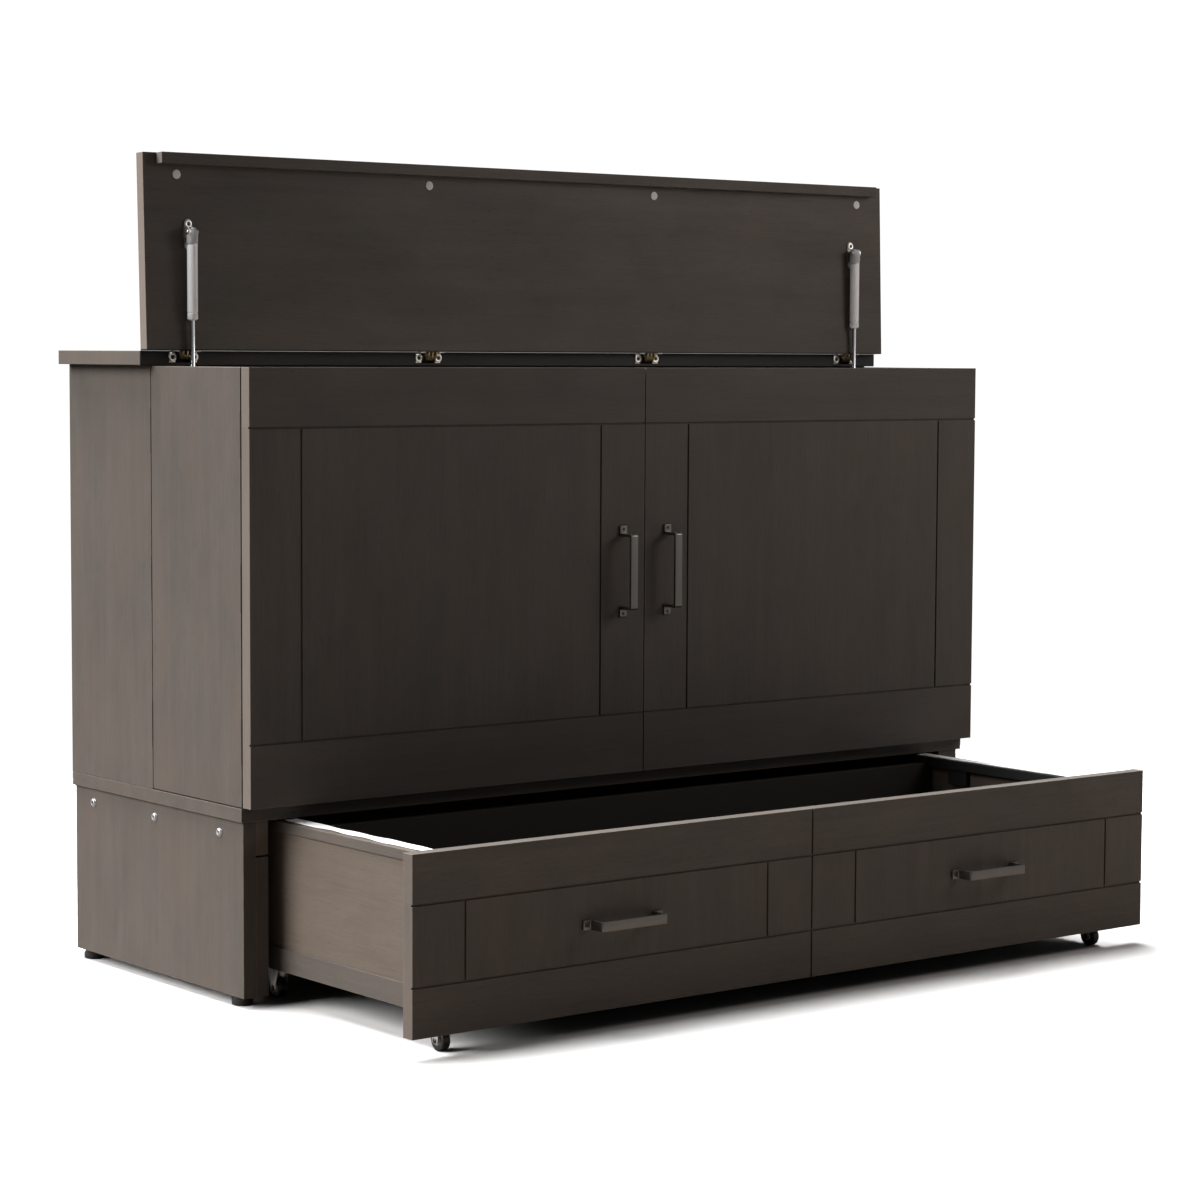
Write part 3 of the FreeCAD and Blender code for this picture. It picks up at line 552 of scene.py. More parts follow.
hubGrey = plasticMaterial("casterHub", (0.74, 0.74, 0.75, 1), (0.62, 0.62, 0.63, 1), 0.35, 0.5)
feltWhite = clothMaterial("whiteFelt", (0.86, 0.86, 0.87, 1), (0.66, 0.66, 0.68, 1), 900.0, 0.5, 0.5)
ticking = clothMaterial("knittedTicking", (0.80, 0.79, 0.76, 1), (0.60, 0.59, 0.56, 1), 1500.0, 0.35, 0.4)
tape = clothMaterial("edgeTape", (0.20, 0.20, 0.21, 1), (0.11, 0.11, 0.12, 1), 2600.0, 0.25, 0.5)
thread = clothMaterial("stitchThread", (0.72, 0.71, 0.69, 1), (0.5, 0.49, 0.47, 1), 5200.0, 0.2, 0.3)
print("materials ready")


# boards keep their CAD shape, and get a stained finish with their own grain and softened edges

boardFinish = {  # node: (look, the way its grain runs)
    "deck_board": (stain, "X"), "base_side_left": (stain, "Z"), "base_side_right": (stain, "Z"),
    "base_back": (stain, "X"), "base_posts": (stain, "Z"), "base_top_blocks": (tan, "Z"),
    "rear_side_left": (stain, "Z"), "rear_side_right": (stain, "Z"), "back_panel": (greyBack, "X"),
    "rear_top": (stain, "X"), "platform_panel_inner": (lacquered, "X"),
    "platform_panel_outer": (lacquered, "X"),
    "lid_panel": (stain, "X"), "lid_lip": (stain, "X"), "side_wing_left": (stain, "Z"),
    "side_wing_right": (stain, "Z"), "door_left": (stain, "X"), "door_right": (stain, "X"),
    "drawer_front": (stain, "X"), "drawer_side_left": (tan, "Y"), "drawer_side_right": (tan, "Y"),
    "drawer_side_rails": (stain, "Y"), "drawer_ledgers": (shadeBlack, "Y"), "drawer_back": (shadedInterior, "X"),
    "drawer_bottom": (shadedInterior, "X"), "felt_blocks": (shadeBlack, "Y"),
}
boardEdge = {"width": 0.0011, "groove": 0.0005, "paint": 0.0022, "ply": 0.0032}
# how far each board's end faces are paled: partly lighter end grain, partly painted sheen
paleEndSheen = {"door_left": 0.22, "door_right": 0.22, "lid_panel": 0.42, "lid_lip": 0.3, "drawer_front": 0.06,
            "rear_top": 0.1}


def softenNode(node, width):
    weld = node.modifiers.new("weld", "WELD")
    weld.merge_threshold = 0.00001
    bevel = node.modifiers.new("edges", "BEVEL")
    bevel.width = width
    bevel.segments = 2
    bevel.limit_method = "ANGLE"
    bevel.angle_limit = math.radians(32)
    bevel.harden_normals = True


def finishNode(name, material):
    node = nodes[name]
    node.data.materials.clear()
    node.data.materials.append(material)


for seed, (name, (look, grain)) in enumerate(sorted(boardFinish.items()), start=3):
    low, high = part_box(name)
    grooved = name.startswith(("door_", "drawer_front"))
    extra = {"paleEndSheen": paleEndSheen.get(name, 0)}
    if grooved:
        heights = sorted({round(vert.co.z, 5) for vert in nodes[name].data.vertices})
        extra["rails"] = (heights[1], heights[-2])
    if name == "rear_top":
        extra["black"] = (1, low.y + boardEdge["paint"])
    if name == "lid_panel":
        extra["black"] = (2, low.z + boardEdge["paint"])
    if name.startswith("platform_panel"):
        extra["plies"] = (1, boardEdge["ply"])
    finishNode(name, boardMaterial("board_" + name, look, grain, low, high, seed, **extra))
    softenNode(nodes[name], boardEdge["groove"] if grooved else boardEdge["width"])
for name in ("wing_hinge_plates", "wing_hinges_left", "wing_hinges_right", "door_hinges_left",
             "door_hinges_right"):
    finishNode(name, darkSteel)
finishNode("strut_lower_brackets", zinc)
softenNode(nodes["strut_lower_brackets"], 0.0006)
print("boards finished")


# geometry trees for what repeats

def newTree(name, **inputs):
    # an input starts from a number, or is named by its kind
    tree = bpy.data.node_groups.new(name, "GeometryNodeTree")
    tree.interface.new_socket(name="Geometry", in_out="INPUT", socket_type="NodeSocketGeometry")
    for label, value in inputs.items():
        kind = {float: "Float", int: "Int"}.get(type(value), value)
        socket = tree.interface.new_socket(name=label, in_out="INPUT", socket_type="NodeSocket%s" % kind)
        if kind != value:
            socket.default_value = value
    tree.interface.new_socket(name="Geometry", in_out="OUTPUT", socket_type="NodeSocketGeometry")
    return tree, tree.nodes.new("NodeGroupInput").outputs, tree.nodes.new("NodeGroupOutput").inputs


def closeTree(tree, result, geometry, finish):
    finished = putFirst(tree, "GeometryNodeSetMaterial", {"Geometry": geometry, "Material": finish})
    tree.links.new(finished, result["Geometry"])
    return tree


def makeFixingTree():
    # sets one fixing on each point, looking along the point's aim, with its own turn
    tree, given, result = newTree("fixingsOnPoints", Fixing="Object", Size=0.004, Seed=5, Finish="Material")
    aim = putFirst(tree, "GeometryNodeInputNamedAttribute", {"Name": "aim"}, data_type="FLOAT_VECTOR")
    turn = putFirst(tree, "FunctionNodeAlignRotationToVector", {"Vector": aim}, axis="Z")
    shape = put(tree, "GeometryNodeObjectInfo", {"Object": given["Fixing"]}).outputs["Geometry"]
    placed = putFirst(tree, "GeometryNodeInstanceOnPoints", {
        "Points": given["Geometry"], "Instance": shape, "Rotation": turn, "Scale": given["Size"]})
    spin = put(tree, "FunctionNodeRandomValue", {2: 0.0, 3: 2 * math.pi, "Seed": given["Seed"]}).outputs[1]
    own = putFirst(tree, "ShaderNodeCombineXYZ", {2: spin})
    spun = putFirst(tree, "GeometryNodeRotateInstances", {"Instances": placed, "Rotation": own})
    whole = putFirst(tree, "GeometryNodeRealizeInstances", {"Geometry": spun})
    return closeTree(tree, result, whole, given["Finish"])


def alongLine(tree, given, line, item):
    # repeats an item at even steps along a line, turned the way the line runs
    spaced = putFirst(tree, "GeometryNodeResampleCurve", {"Curve": line, "Length": given["Step"]},
                      mode="LENGTH")
    along = putFirst(tree, "GeometryNodeInputTangent")
    turn = putFirst(tree, "FunctionNodeAlignRotationToVector", {"Vector": along}, axis="Z")
    placed = putFirst(tree, "GeometryNodeInstanceOnPoints", {"Points": spaced, "Instance": item,
                                                             "Rotation": turn})
    return putFirst(tree, "GeometryNodeRealizeInstances", {"Geometry": placed})


def makeStitchTree():
    # lays short stitches end to end along a line
    tree, given, result = newTree("stitchesAlongLine", Step=0.009, Length=0.006, Thickness=0.0006,
                                  Finish="Material")
    line = putFirst(tree, "GeometryNodeMeshToCurve", {"Mesh": given["Geometry"]})
    stitch = putFirst(tree, "GeometryNodeMeshCylinder", {
        "Vertices": 6, "Side Segments": 2, "Radius": given["Thickness"], "Depth": given["Length"]})
    return closeTree(tree, result, alongLine(tree, given, line, stitch), given["Finish"])


def makeKnuckleTree():
    # a piano hinge: knuckles in a row on a pin, from the first point of the line to its last
    tree, given, result = newTree("pianoHinge", Step=0.02, Gap=0.0008, Radius=0.003, Finish="Material")
    line = putFirst(tree, "GeometryNodeMeshToCurve", {"Mesh": given["Geometry"]})
    knuckle = putFirst(tree, "GeometryNodeMeshCylinder", {"Vertices": 16, "Radius": given["Radius"],
                                                          "Depth": subtract(given["Step"], given["Gap"])})
    core = putFirst(tree, "GeometryNodeCurvePrimitiveCircle", {"Resolution": 12,
                                                               "Radius": multiply(given["Radius"], 0.72)})
    both = tree.nodes.new("GeometryNodeJoinGeometry")
    tree.links.new(alongLine(tree, given, line, knuckle), both.inputs[0])
    tree.links.new(putFirst(tree, "GeometryNodeCurveToMesh", {"Curve": line, "Profile Curve": core,
                                                              "Fill Caps": True}), both.inputs[0])
    return closeTree(tree, result, both.outputs[0], given["Finish"])


def grow(name, tree, points, values, body, replaced=(), aims=None, edges=()):
    # runs a tree on a few points or edges and keeps the result as a plain mesh
    mesh = bpy.data.meshes.new(name + "Points")
    mesh.from_pydata([tuple(p) for p in points], list(edges), [])
    if aims:
        aimed = mesh.attributes.new("aim", "FLOAT_VECTOR", "POINT")
        for k, aim in enumerate(aims):
            aimed.data[k].vector = aim
    source = newObject(name + "Source", mesh)
    modifier = source.modifiers.new("grow", "NODES")
    modifier.node_group = tree
    for item in tree.interface.items_tree:
        if item.in_out == "INPUT" and item.name in values:
            modifier[item.identifier] = values[item.name]
    bpy.context.view_layer.update()
    grown = evaluated(source)
    bpy.data.objects.remove(source)
    grown.name = name
    return settle(name, grown, [], body, replaced)


fixingTree, stitchTree, knuckleTree = makeFixingTree(), makeStitchTree(), makeKnuckleTree()


def template(name, bm):
    # a shape for the trees to repeat, a unit across, removed before the frame is finished
    return newObject(name, newMesh(name, bm))


boltProfile = [(0, 0), (0.98, 0), (1.0, 0.06), (0.98, 0.12), (0.86, 0.14), (0.84, 0.34), (0.76, 0.46),
               (0.66, 0.5), (0.46, 0.5), (0.42, 0.47, "hex"), (0.40, 0.14, "hex"), (0, 0.12)]
screwProfile = [(0, 0), (1.0, 0), (1.0, 0.06), (0.93, 0.2), (0.76, 0.34), (0.62, 0.38), (0.58, 0.37, "cross"),
                (0.46, 0.12, "cross"), (0, 0.1)]
sunkProfile = [(0, -0.05), (1.0, -0.05), (1.0, 0.03), (0.94, 0.06), (0.62, 0.06), (0.58, 0.05, "cross"),
               (0.4, -0.02, "cross"), (0, -0.03)]
bumperProfile = [(0, 0), (0.98, 0), (1.0, 0.04), (0.97, 0.1), (0.85, 0.145), (0.55, 0.16), (0, 0.165)]
shapes = {"bolt": template("boltShape", lathe(boltProfile, 24)),
          "screw": template("screwShape", lathe(screwProfile, 24)),
          "sunk": template("sunkShape", lathe(sunkProfile, 24)),
          "bumper": template("bumperShape", lathe(bumperProfile, 32))}


def fixings(name, shape, spots, size, finish, body, replaced=()):
    return grow(name, fixingTree, [spot for spot, aim in spots],
                {"Fixing": shapes[shape], "Size": size, "Finish": finish}, body, replaced,
                [aim for spot, aim in spots])


def addBolts():
    size = {"head": 0.0078}
    spots = []
    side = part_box("base_side_right")[1].x
    for low, high in solidBoxes("base_bolts"):
        middle = centre(low, high)
        outer = abs(middle.x) > side - 0.001
        aim = across * math.copysign(1, middle.x) * (1 if outer else -1)
        root = (low.x if aim.x > 0 else high.x)
        spots.append((Vector((root, middle.y, middle.z)), aim))
    fixings("baseBolts", "bolt", spots, size["head"], zinc, "cabinet", ["base_bolts"])


def addHingeScrews():
    # three flat screws in every leaf of the wing and door hinges
    size = {"head": 0.0028, "leaf": 0.0008, "heights": (0.1, 0.5, 0.9)}
    for name, body in (("wing_hinge_plates", "cabinet"), ("wing_hinges_left", "wing_left"),
                       ("wing_hinges_right", "wing_right"), ("door_hinges_left", "door_left"),
                       ("door_hinges_right", "door_right")):
        spots = []
        for low, high in solidBoxes(name):
            looksBack = name.startswith("door") or abs(low.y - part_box(name)[1].y) < 0.004 and body != "cabinet"
            y = low.y + size["leaf"] if looksBack else high.y - size["leaf"]
            x = math.copysign(min(abs(low.x), abs(high.x)) + 0.009, low.x)
            aim = -forward if looksBack else forward
            spots += [(Vector((x, y, low.z + share * (high.z - low.z))), aim) for share in size["heights"]]
        fixings("screws_" + name, "sunk", spots, size["head"], brightRing, body)


def addBackScrews():
    # flush screws round the back sheet and across the base's back board
    size = {"head": 0.0036, "edge": 0.014, "step": 0.16}
    spots = []
    for name, rows in (("back_panel", "both"), ("base_back", "ends")):
        low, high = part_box(name)
        left, right = low.x + size["edge"], high.x - size["edge"]
        count = round((right - left) / size["step"])
        bottom, top = low.z + size["edge"], high.z - size["edge"]
        if rows == "both":
            for k in range(count + 1):
                x = left + (right - left) * k / count
                spots += [((x, high.y, bottom)), ((x, high.y, top))]
        rise = max(2, round((top - bottom) / size["step"]))
        for k in range(1 if rows == "both" else 0, rise + (0 if rows == "both" else 1)):
            z = bottom + (top - bottom) * k / rise
            spots += [(left, high.y, z), (right, high.y, z)]
    fixings("backScrews", "sunk", [(Vector(spot), -forward) for spot in spots], size["head"], darkSteel,
            "cabinet")


def addBumpers():
    spots = []
    for low, high in solidBoxes("lid_bumpers", lidSpace):
        middle = centre(low, high)
        spots.append((lidSpace @ Vector((middle.x, high.y, middle.z)), lidSpace.to_3x3() @ forward))
    piece = fixings("lidBumpers", "bumper", spots, 0.0078, feltWhite, "lid", ["lid_bumpers"])


def addPianoHinges():
    size = {"step": 0.022, "gap": 0.0008}
    points, edges = [], []
    for low, high in solidBoxes("platform_hinges"):
        middle = centre(low, high)
        edges.append((len(points), len(points) + 1))
        points += [(x, middle.y, middle.z) for x in (low.x + size["step"] / 2, high.x - size["step"] / 2)]
    grow("platformHinges", knuckleTree, points, {"Step": size["step"], "Gap": size["gap"], "Radius": 0.0023,
                                                 "Finish": zinc}, "cabinet", ["platform_hinges"],
         edges=edges)


addBolts()
addHingeScrews()
addBackScrews()
addBumpers()
addPianoHinges()
print("repeated fixings made")


def addGapShadeBand():
    # thin black banding on the lid's hinge end, which closes the gap over the rear top's edge: a dark sheet that
    # paints in the shade of that gap
    size = {"thick": 0.00045, "inset": 0.0004, "sunk": 0.0001}
    low, high = lidCorners("lid_panel")
    inset, foot = size["inset"], low.z
    whole = Assembly()
    whole.put(block((low.x + inset, low.y + inset, foot - size["thick"]),
                    (high.x - inset, high.y - inset, foot + size["sunk"]), 0))
    whole.done("lidEndBand", [gapShadeBlack], "lid", "stained_wood", space=lidSpace)


def lidCorners(name):
    found = [lidSpace.inverted() @ vert.co for vert in nodes[name].data.vertices]
    return [Vector([pick(v[k] for v in found) for k in range(3)]) for pick in (min, max)]


# pieces made one by one

def ringEar(whole, spot, aim, size):
    # a round nickel ear with its screw sunk in the middle
    radius, thick = size["ringRadius"], size["ringThick"]
    ring = [(r * radius, h * thick) for r, h in ((0.5, 0), (1, 0), (1, 0.6), (0.93, 0.9), (0.8, 1), (0.58, 1),
                                                 (0.5, 0.85), (0.5, 0))]
    whole.turn(ring, 32, spot, aim)
    cup = [(0, -0.0002), (radius * 0.49, -0.0002), (radius * 0.49, thick * 0.35), (radius * 0.34, thick * 0.45),
           (radius * 0.3, thick * 0.4, "cross"), (radius * 0.2, thick * 0.05, "cross"), (0, 0)]
    whole.turn(cup, 24, spot, aim, 2, 0.4)


def addHinges(name, node, body, space, aim):
    # ring ears on the board's face, and the curved links between them
    size = {"ringRadius": 0.0076, "ringThick": 0.0024, "linkWide": 0.006, "edge": 0.0003}
    inset = Vector((0.0001,) * 3)
    whole = Assembly()
    for low, high, solid in splitNode(node, space):
        if high.x - low.x < size["linkWide"]:
            whole.put(soften(solid, size["edge"]), finish=1)
            continue
        solid.free()
        middle = centre(low, high)
        face = Vector([high[k] if aim[k] > 0 else low[k] if aim[k] < 0 else middle[k] for k in range(3)])
        whole.put(block(low + inset, high - inset, size["edge"]))
        ringEar(whole, face, aim, size)
    whole.done(name, [brightRing, brass, darkSteel], body, "hinge_brass", [node], space)


# near-black band: painted shade for the lid's hinge gap
gapShadeBlack = plasticMaterial("gapShadeBand", (0.012, 0.012, 0.012, 1), (0.008, 0.008, 0.008, 1), 0.6, 0.75)
addGapShadeBand()
addHinges("topHinges", "top_hinge_links", "cabinet", Matrix.Identity(4), forward)
addHinges("lidHinges", "lid_hinge_links", "lid", lidSpace, -up)


def addPull(name, node, body, upright):
    # a bent flat strap with screwed tabs; its side outline is drawn once and pushed across its width
    size = {"tab": 0.0135, "tabThick": 0.004, "strap": 0.005, "bend": 0.0045, "inner": 0.0016, "edge": 0.0007,
            "screw": 0.0026}
    low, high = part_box(node)
    long = (high.z - low.z if upright else high.x - low.x) / 2
    wide = high.x - low.x if upright else high.z - low.z
    reach = high.y - low.y
    leg, inside = long - size["tab"], long - size["tab"] - size["strap"]
    tab = size["tabThick"]
    half = [(inside, 0, 0), (long, 0, 0.0003), (long, tab, 0.0012), (leg, tab, 0.0015), (leg, reach, size["bend"])]
    outline = half + [(-x, y, r) for x, y, r in reversed(half)]
    outline += [(-inside, reach - size["strap"], size["inner"]), (inside, reach - size["strap"], size["inner"])]
    whole = Assembly()
    strap = plate(rounded(outline, 5), wide, size["edge"])
    middle = centre(low, high)
    if upright:
        place = axes(Vector((low.x, high.y, middle.z)), up, forward, across)
    else:
        place = axes(Vector((middle.x, high.y, high.z)), across, forward, -up)
    whole.put(strap, place, 0)
    along = up if upright else across
    for end in (-1, 1):
        spot = Vector((middle.x, high.y - tab, middle.z)) + along * end * (long - size["tab"] * 0.42)
        head = lathe([(r * size["screw"], h * size["screw"], *word) for r, h, *word in screwProfile], 24)
        whole.put(head, facing(spot, forward, 0.3 + end), 1)
    return whole.done(name, [gunmetal, darkSteel], body, "pull_gunmetal", [node])


for handName, hand in hands:
    addPull("doorPull_" + handName, "door_pull_" + handName, "door_" + handName, True)
    addPull("drawerPull_" + handName, "drawer_pull_" + handName, "drawer", False)


strutPivotDrop = 0.008  # from the tube's top down to its pivot


def rectangle(x, y, radius):
    return [(-x, -y, radius), (x, -y, radius), (x, y, radius), (-x, y, radius)]


def addStrut(handName):
    size = {"cap": 0.028, "capRadius": 0.0096, "tube": 0.009, "neck": 0.0083, "end": 0.0058, "pin": 0.0042,
            "rod": 0.004, "eye": 0.0078, "eyeHalf": 0.0048, "bore": 0.0036, "stem": 0.0046, "footUp": 0.008,
            "slotWide": 0.0012, "slotLong": 0.007}
    low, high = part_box("strut_tube_" + handName)
    x, y = centre(low, high).x, centre(low, high).y
    base, top = low.z, high.z
    seat = top - size["cap"]
    whole = Assembly()
    tube, neck, end, long = size["tube"], size["neck"], size["end"], seat - base
    body = [(0, 0), (end, 0), (end + 0.0004, 0.0012), (neck + 0.0001, 0.0014), (tube, 0.0024), (tube, 0.0105),
            (neck, 0.0112), (neck, 0.0128), (tube, 0.0135), (tube, long - 0.0012), (neck, long - 0.0006),
            (neck, long), (0, long)]
    whole.turn(body, 40, Vector((x, y, base)), up)
    radius = size["capRadius"]
    cap = [(0, 0), (radius * 0.96, 0), (radius, 0.0006), (radius, size["cap"] - radius)]
    cap += dome(radius, size["cap"] - radius, size["cap"], 8)
    whole.turn(cap, 40, Vector((x, y, seat)), up, 1)
    pivot = Vector((x, y, top - strutPivotDrop))
    for side in (-1, 1):
        head = [(0, 0), (size["pin"], 0), (size["pin"], 0.0008), (size["pin"] * 0.7, 0.0014), (0, 0.0015)]
        whole.turn(head, 24, pivot + across * side * (radius - 0.0006), across * side, 2)
    slot = plate(rounded(rectangle(size["slotWide"], size["slotLong"], 0.0011)), 0.0007, 0.0002)
    outward = Vector((0.55, -0.84, 0)).normalized()
    place = axes(Vector((x, y, top - 0.0165)) + outward * (radius - 0.0004), up.cross(outward), up, outward)
    whole.put(slot, place, 3)
    whole.turn([(0, 0), (0.0092, 0), (0.0092, 0.0016), (0, 0.0016)], 32, Vector((x, y, seat - 0.0014)), up, 2)
    name = "strut_tube_" + handName
    whole.done("strutTube_" + handName, [silver, capGrey, zinc, feltWhite], name, "strut_silver", [name])
    low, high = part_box("strut_rod_" + handName)
    whole = Assembly()
    foot, thick, eyeRadius = low.z + size["footUp"], size["eyeHalf"], size["eye"]
    stem = [(0, 0), (size["stem"], 0), (size["stem"], 0.012), (0.0042, 0.0135), (size["rod"], 0.014),
            (size["rod"], high.z - foot), (0, high.z - foot)]
    whole.turn(stem, 32, Vector((x, y, foot)), up)
    eye = [(size["bore"], -thick), (eyeRadius - 0.0006, -thick), (eyeRadius, -thick + 0.0006),
           (eyeRadius, thick - 0.0006), (eyeRadius - 0.0006, thick), (size["bore"], thick),
           (size["bore"], -thick)]
    whole.turn(eye, 36, Vector((x, y, foot)), across, 1)
    bore = size["bore"] - 0.0001
    bush = [(0, -thick - 0.0006), (bore, -thick - 0.0006), (bore, thick + 0.0003), (0, thick + 0.0003)]
    whole.turn(bush, 24, Vector((x, y, foot)), across, 1)
    whole.done("strutRod_" + handName, [chrome, zinc], "strut_rod_" + handName, "rod_chrome",
               ["strut_rod_" + handName])


def addUpperBrackets():
    size = {"wide": 0.0076, "long": 0.0265, "lower": 0.004, "thick": 0.002, "ring": 0.0066, "hole": 0.018,
            "cheekThick": 0.003}
    whole = Assembly()
    for low, high in solidBoxes("strut_upper_brackets", lidSpace):
        hand = math.copysign(1, centre(low, high).x)
        handName = "right" if hand > 0 else "left"
        tubeLow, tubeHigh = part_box("strut_tube_" + handName)
        x = centre(tubeLow, tubeHigh).x
        pivot = lidSpace.inverted() @ Vector((x, centre(tubeLow, tubeHigh).y, tubeHigh.z - strutPivotDrop))
        face = high.y
        wide, long = size["wide"], size["long"]
        whole.put(plate(rounded(rectangle(wide, long, wide * 0.98), 8), size["thick"], 0.0004),
                  axes(Vector((x, face, pivot.z - size["lower"])), across, up, forward), 3)
        for end in (-1, 1):
            spot = Vector((x, face - size["thick"], pivot.z - size["lower"] + end * size["hole"]))
            ringEar(whole, spot, forward, {"ringRadius": size["ring"], "ringThick": 0.0018})
        inner = x + hand * 0.006
        stand = face - pivot.y
        cheek = [(0, -0.009, 0), (0, 0.009, 0), (stand, 0.0078, 0), (stand + 0.0074, 0.0074, 0.007),
                 (stand + 0.0074, -0.0074, 0.007), (stand, -0.0078, 0)]
        start = Vector((inner if hand > 0 else inner - size["cheekThick"], face, pivot.z))
        whole.put(plate(rounded(cheek, 6), size["cheekThick"], 0.0004), axes(start, forward, up, -across)
                  @ Matrix.Translation((0, 0, -size["cheekThick"])), 0)
        pin = [(0, 0), (0.0034, 0), (0.0034, 0.0165), (0.0028, 0.017), (0, 0.0172)]
        whole.turn(pin, 24, Vector((x - hand * 0.0062, pivot.y, pivot.z)), across * hand)
    whole.done("strutUpperBrackets", [brightRing, zinc, darkSteel, darkZinc], "lid", "zinc_steel",
               ["strut_upper_brackets"], lidSpace)


for handName, hand in hands:
    addStrut(handName)
addUpperBrackets()
print("pulls, hinges and struts made")


def addCasters():
    size = {"tyreEdge": 0.0028, "hub": 0.0078, "bore": 0.0031}
    for end in ("front", "rear"):
        for handName, hand in hands:
            node = "caster_wheel_%s_%s" % (end, handName)
            low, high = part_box(node)
            middle, half, radius = centre(low, high), (high.x - low.x) / 2, (high.z - low.z) / 2
            edge, hub = size["tyreEdge"], size["hub"]
            tyre = [(hub, -half + 0.0012), (hub + 0.0016, -half + 0.0004), (radius - edge, -half)]
            for k in range(1, 5):
                angle = math.pi / 2 * k / 4
                tyre.append((radius - edge + edge * math.sin(angle), -half + edge * (1 - math.cos(angle))))
            tyre.append((radius, 0))
            tyre += [(r, -h) for r, h in reversed(tyre[:-1])]
            tyre.append(tyre[0])
            whole = Assembly()
            whole.turn(tyre, 48, middle, across)
            disc = [(size["bore"], -half + 0.0002), (0.0046, -half + 0.0001), (0.0052, -half + 0.0014),
                    (hub - 0.0012, -half + 0.0018), (hub - 0.0004, -half + 0.001),
                    (hub + 0.0001, -half + 0.001)]
            disc += [(r, -h) for r, h in reversed(disc)]
            disc.append(disc[0])
            whole.turn(disc, 48, middle, across, 1)
            for spoke in range(5):
                angle = 2 * math.pi * spoke / 5
                rib = block((0.0044, -0.0009, -half + 0.0006), (hub - 0.0006, 0.0009, half - 0.0006), 0.0003)
                whole.put(rib, facing(middle, across, angle), 1)
            whole.done("wheel_%s_%s" % (end, handName), [rubber, hubGrey], "wheel_%s_%s" % (end, handName),
                       "caster_rubber", [node])


def addForks():
    size = {"cheek": 0.0025, "end": 0.0072, "rivet": 0.0046}
    whole = Assembly()
    rivets = []
    wheelAxles = [centre(*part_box("caster_wheel_%s_%s" % (end, handName))) for end in ("front", "rear")
                  for handName, hand in hands]
    for low, high in solidBoxes("caster_forks"):
        middle = centre(low, high)
        axle = min(wheelAxles, key=lambda spot: (spot - middle).length)
        top, half, thick = high.z, (high.y - low.y) / 2, size["cheek"]
        rise, end = top - axle.z, size["end"]
        cheek = [(half, rise, 0), (half, rise - 0.005, 0.002), (end + 0.0008, 0.006, 0.006),
                 (end, -0.0055, 0.0055)]
        cheek = [(-x, y, r) for x, y, r in cheek] + cheek[::-1]
        for x in (low.x, high.x - thick):
            place = axes(Vector((x, axle.y, axle.z)), -forward, up, across)
            whole.put(plate(rounded(cheek, 5), thick, 0.0005), place)
        crown = [(low.x, low.y, 0.003), (high.x, low.y, 0.003), (high.x, high.y, 0.003), (low.x, high.y, 0.003)]
        whole.put(plate(rounded(crown), thick, 0.0005), Matrix.Translation((0, 0, top - thick)), 0)
        race = [(0, 0), (0.0075, 0), (0.0085, 0.001), (0.0085, 0.0035), (0, 0.0035)]
        whole.put(lathe(race, 32), Matrix.Translation((middle.x, middle.y, top - thick - 0.0034)), 0)
        for aim, x in ((-across, low.x), (across, high.x)):
            rivets.append((Vector((x, axle.y, axle.z)), aim))
    whole.done("casterForks", [zinc], "drawer", "zinc_steel", ["caster_forks"])
    whole, rivet = Assembly(), size["rivet"]
    for spot, aim in rivets:
        head = [(0, -0.0002), (rivet, -0.0002), (rivet, 0.0004)] + dome(rivet, 0.0004, 0.0018, 4)
        whole.turn(head, 24, spot, aim)
    for axle in wheelAxles:
        whole.turn([(0, -0.0105), (0.0029, -0.0105), (0.0029, 0.0105), (0, 0.0105)], 20, axle, across)
    whole.done("casterAxles", [darkSteel], "drawer", "zinc_steel", ["caster_axles"])


def addFeet():
    whole = Assembly()
    for low, high in solidBoxes("base_feet"):
        radius, tall = (high.x - low.x) / 2, high.z - low.z
        glide = [(0, 0), (radius - 0.0025, 0), (radius - 0.0006, 0.001), (radius, 0.003), (radius, tall * 0.6),
                 (radius - 0.001, tall * 0.64), (radius - 0.0022, tall * 0.68), (radius - 0.0022, tall),
                 (0, tall)]
        whole.put(lathe(glide, 40), Matrix.Translation((centre(low, high).x, centre(low, high).y, low.z)), 0)
    whole.done("baseFeet", [blackPlastic], "cabinet", "black_plastic", ["base_feet"])


